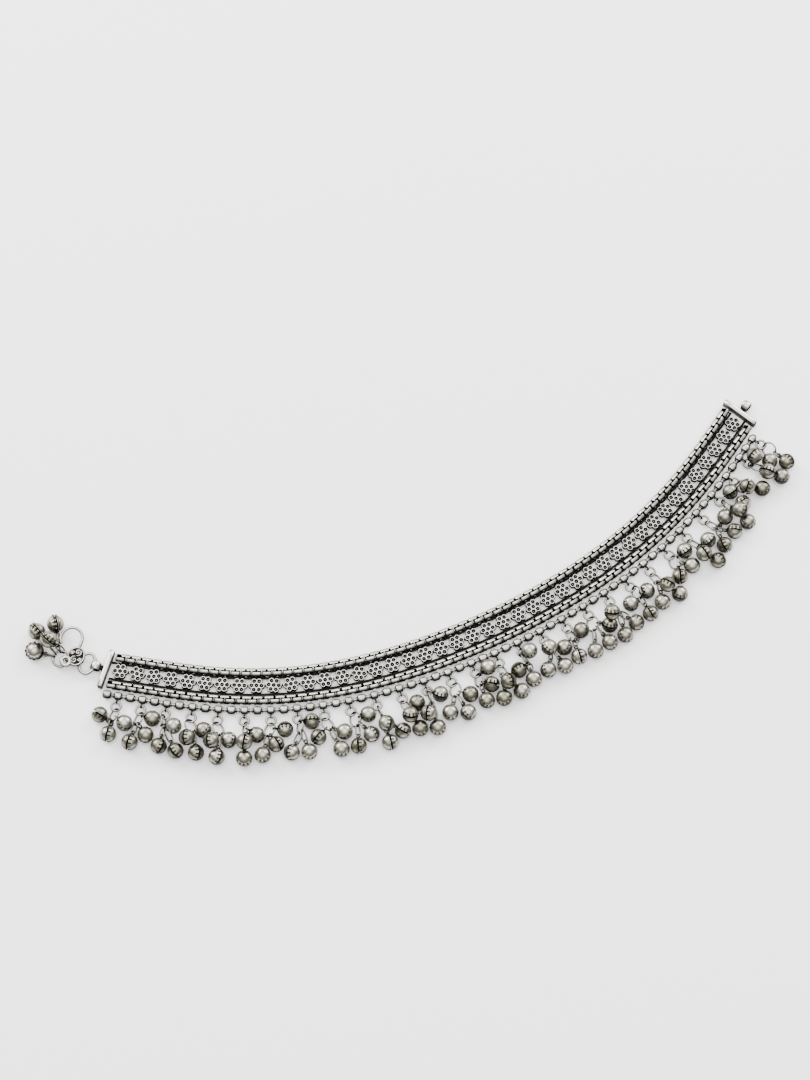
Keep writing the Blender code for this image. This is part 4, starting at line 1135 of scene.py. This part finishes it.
plate, plate_hollow = plate_points()
hook = hook_path(44)[None]
left_ahead, left_beside = axes_of(LEFT_H)
build("clasp_plate_and_hook", [
    patch(plate, plate_hollow, 0.2),
    # The lobe gets painted shade on its sides, below an upward normal part of 0.8.
    patch(rings(clasp_lay(PLATE_OUT + LOBE_OUT, PLATE_SHIFT + LOBE_DOWN, PLATE_HEIGHT), UP, left_beside,
                LOBE_ACROSS, LOBE_WIRE, 40, 12), 0.0, 0.1, ring=True, shade_below=0.8),
    patch(wire(hook, UP, HOOK_WIRE / 2.0, 12), 0.0, 0.3, shade_below=WIRE_SHADE_BELOW),
    patch(staple(FIRST_OUT, 0.0, OVAL_WIRE), 0.6, 0.4),
    patch(staple(SECOND_OUT, CLASP_SHIFT, CLASP_RING_WIRE), 0.6, 0.4),
], clasp_silver, "clasp_silver", "clasp_hook")
build("oval_ring", [
    bright_rings(0.0, 0.1, clasp_lay(OVAL_OUT, 0.0, MID), UP, left_beside, OVAL_LONG, OVAL_WIRE, 48, 12,
                 (OVAL_SHORT - OVAL_WIRE) / (OVAL_LONG - OVAL_WIRE)),
], clasp_silver, "clasp_silver", "clasp_ring")

# %% [markdown]
# ## The clasp's bells
# The four bells of the clasp are larger, with a narrower slit, and their two halves end in
# a flange that stands out all round. They are settled round their ring in the same way as
# the others.

# %% The clasp's bells
CLASP_RING_ACROSS = 0.0062
CLASP_BELL = 0.0062
CLASP_BELLS = ((1.42, 0.04, 0), (1.38, -1.10, 0), (0.82, -1.42, 0), (1.02, -0.66, 1))
CLASP_TURNS = (12.0, 80.0, 75.0, -70.0)
CLASP_SLIT = 3.6
CLASP_RIM_ROWS = (-12.0, -10.0, -1.2, 0.0)
CLASP_RIM = 0.13
CLASP_DOME = 0.91
CLASP_GROOVE = 0.8
CLASP_TONES = (0.1, 0.5, 0.4, 0.7)
ring_radius = (CLASP_RING_ACROSS - CLASP_RING_WIRE) / 2.0
ring_out = SECOND_OUT + ring_radius
clasp_middle = clasp_lay(ring_out, CLASP_SHIFT, MID)
chosen = np.array(CLASP_BELLS)
hook_line = hook_path(10)
known = np.arange(len(hook_line))
between = np.linspace(0.0, len(hook_line) - 1.0, WALL_STEPS)
hook_line = np.stack([np.interp(between, known, column) for column in hook_line.T], axis=1)
clasp_middles = settle(
    clasp_lay(ring_out + chosen[:, 0] * CLASP_BELL, CLASP_SHIFT + chosen[:, 1] * CLASP_BELL,
              CLASP_BELL * (0.5 + LEVEL_RISE * chosen[:, 2])),
    np.tile(clasp_middle, (len(chosen), 1)), ring_radius, CLASP_RING_WIRE, CLASP_BELL,
    (hook_line, HOOK_WIRE / 2.0),
)
circle = circles(clasp_middle[None], -left_ahead[None], left_beside[None], ring_radius)[0]
clasp_parts, looks = hang_on(circle, clasp_middles, CLASP_BELL / 2.0)
clasp_parts.append(bright_rings(0.0, 0.2, clasp_middle, UP, left_ahead, CLASP_RING_ACROSS, CLASP_RING_WIRE,
                                40, 10))
faces = faces_of(looks, CLASP_TURNS)
clasp_parts.append(bell_shapes(clasp_middles, looks, faces, CLASP_DOME * CLASP_BELL / 2.0, CLASP_SLIT,
                               CLASP_TONES, CLASP_RIM_ROWS, CLASP_RIM, CLASP_GROOVE))
build("clasp_bells", clasp_parts, bell_silver, "bell_silver", "clasp_bell_drop")

# %% [markdown]
# ## Table, light and camera
# The anklet lies on a plain white table in a light tent that is brightest overhead and
# dark low down, which gives the metal its soft change from white to grey, with large panels
# above and behind. It is seen from above and a little turned, through a long lens that keeps
# its far and near parts almost the same size.

# %% Table, light and camera
VIEW_TURN = math.radians(-23.5)
VIEW_RISE = math.radians(70.0)
TARGET = Vector((-0.0008, 0.02269, 0.0017))
DISTANCE = 0.9
FRAME_WIDTH = 0.2721
SENSOR = 36.0
TABLE_HALF = 8.0

table_mesh = bpy.data.meshes.new("table_top")
bm = bmesh.new()
bmesh.ops.create_grid(bm, x_segments=8, y_segments=8, size=TABLE_HALF)
bm.to_mesh(table_mesh)
bm.free()
table = placed("table_top", table_mesh)
white = bpy.data.materials.new("white_table")
white.use_nodes = True
white_shader = white.node_tree.nodes["Principled BSDF"]
white_shader.inputs["Base Color"].default_value = (0.93, 0.93, 0.92, 1.0)
white_shader.inputs["Roughness"].default_value = 0.7
table_mesh.materials.append(white)

world = bpy.data.worlds.new("studio")
bpy.context.scene.world = world
world.use_nodes = True
sky = world.node_tree.nodes["Background"]
sky.inputs["Color"].default_value = (1.0, 1.0, 1.0, 1.0)
direction = node(world.node_tree, "ShaderNodeSeparateXYZ")
look = node(world.node_tree, "ShaderNodeTexCoord")
world.node_tree.links.new(look.outputs["Generated"], direction.inputs["Vector"])
rising = spread(world.node_tree, direction.outputs["Z"], 0.15, 1.0, 0.08, 1.7)
rising.node.interpolation_type = "SMOOTHSTEP"
world.node_tree.links.new(rising, sky.inputs["Strength"])


def panel(name, place, size, power):
    """A light panel, wide by high, that looks at the anklet."""
    light = bpy.data.lights.new(name, "AREA")
    light.shape = "RECTANGLE"
    light.size, light.size_y = size
    light.energy = power
    lamp = placed(name, light)
    lamp.location = place
    lamp.rotation_euler = (TARGET - Vector(place)).to_track_quat("-Z", "Y").to_euler()


panel("left_panel", (-0.48, 0.92, 0.62), (0.75, 0.75), 24.0)
panel("right_panel", (0.95, 0.36, 0.55), (0.70, 0.70), 18.0)
panel("back_panel", (0.43, 0.98, 0.78), (1.5, 0.40), 14.0)
panel("top_panel", (-0.05, -0.12, 1.35), (1.3, 1.3), 24.0)

camera_data = bpy.data.cameras.new("camera")
camera_data.sensor_fit = "HORIZONTAL"
camera_data.sensor_width = SENSOR
camera_data.lens = SENSOR * DISTANCE / FRAME_WIDTH
camera_data.clip_start = 0.01
camera = placed("camera", camera_data)
back = Vector((math.sin(VIEW_TURN) * math.cos(VIEW_RISE), -math.cos(VIEW_TURN) * math.cos(VIEW_RISE),
               math.sin(VIEW_RISE)))
camera.location = TARGET + DISTANCE * back
camera.rotation_euler = (-back).to_track_quat("-Z", "Y").to_euler()
bpy.context.scene.camera = camera
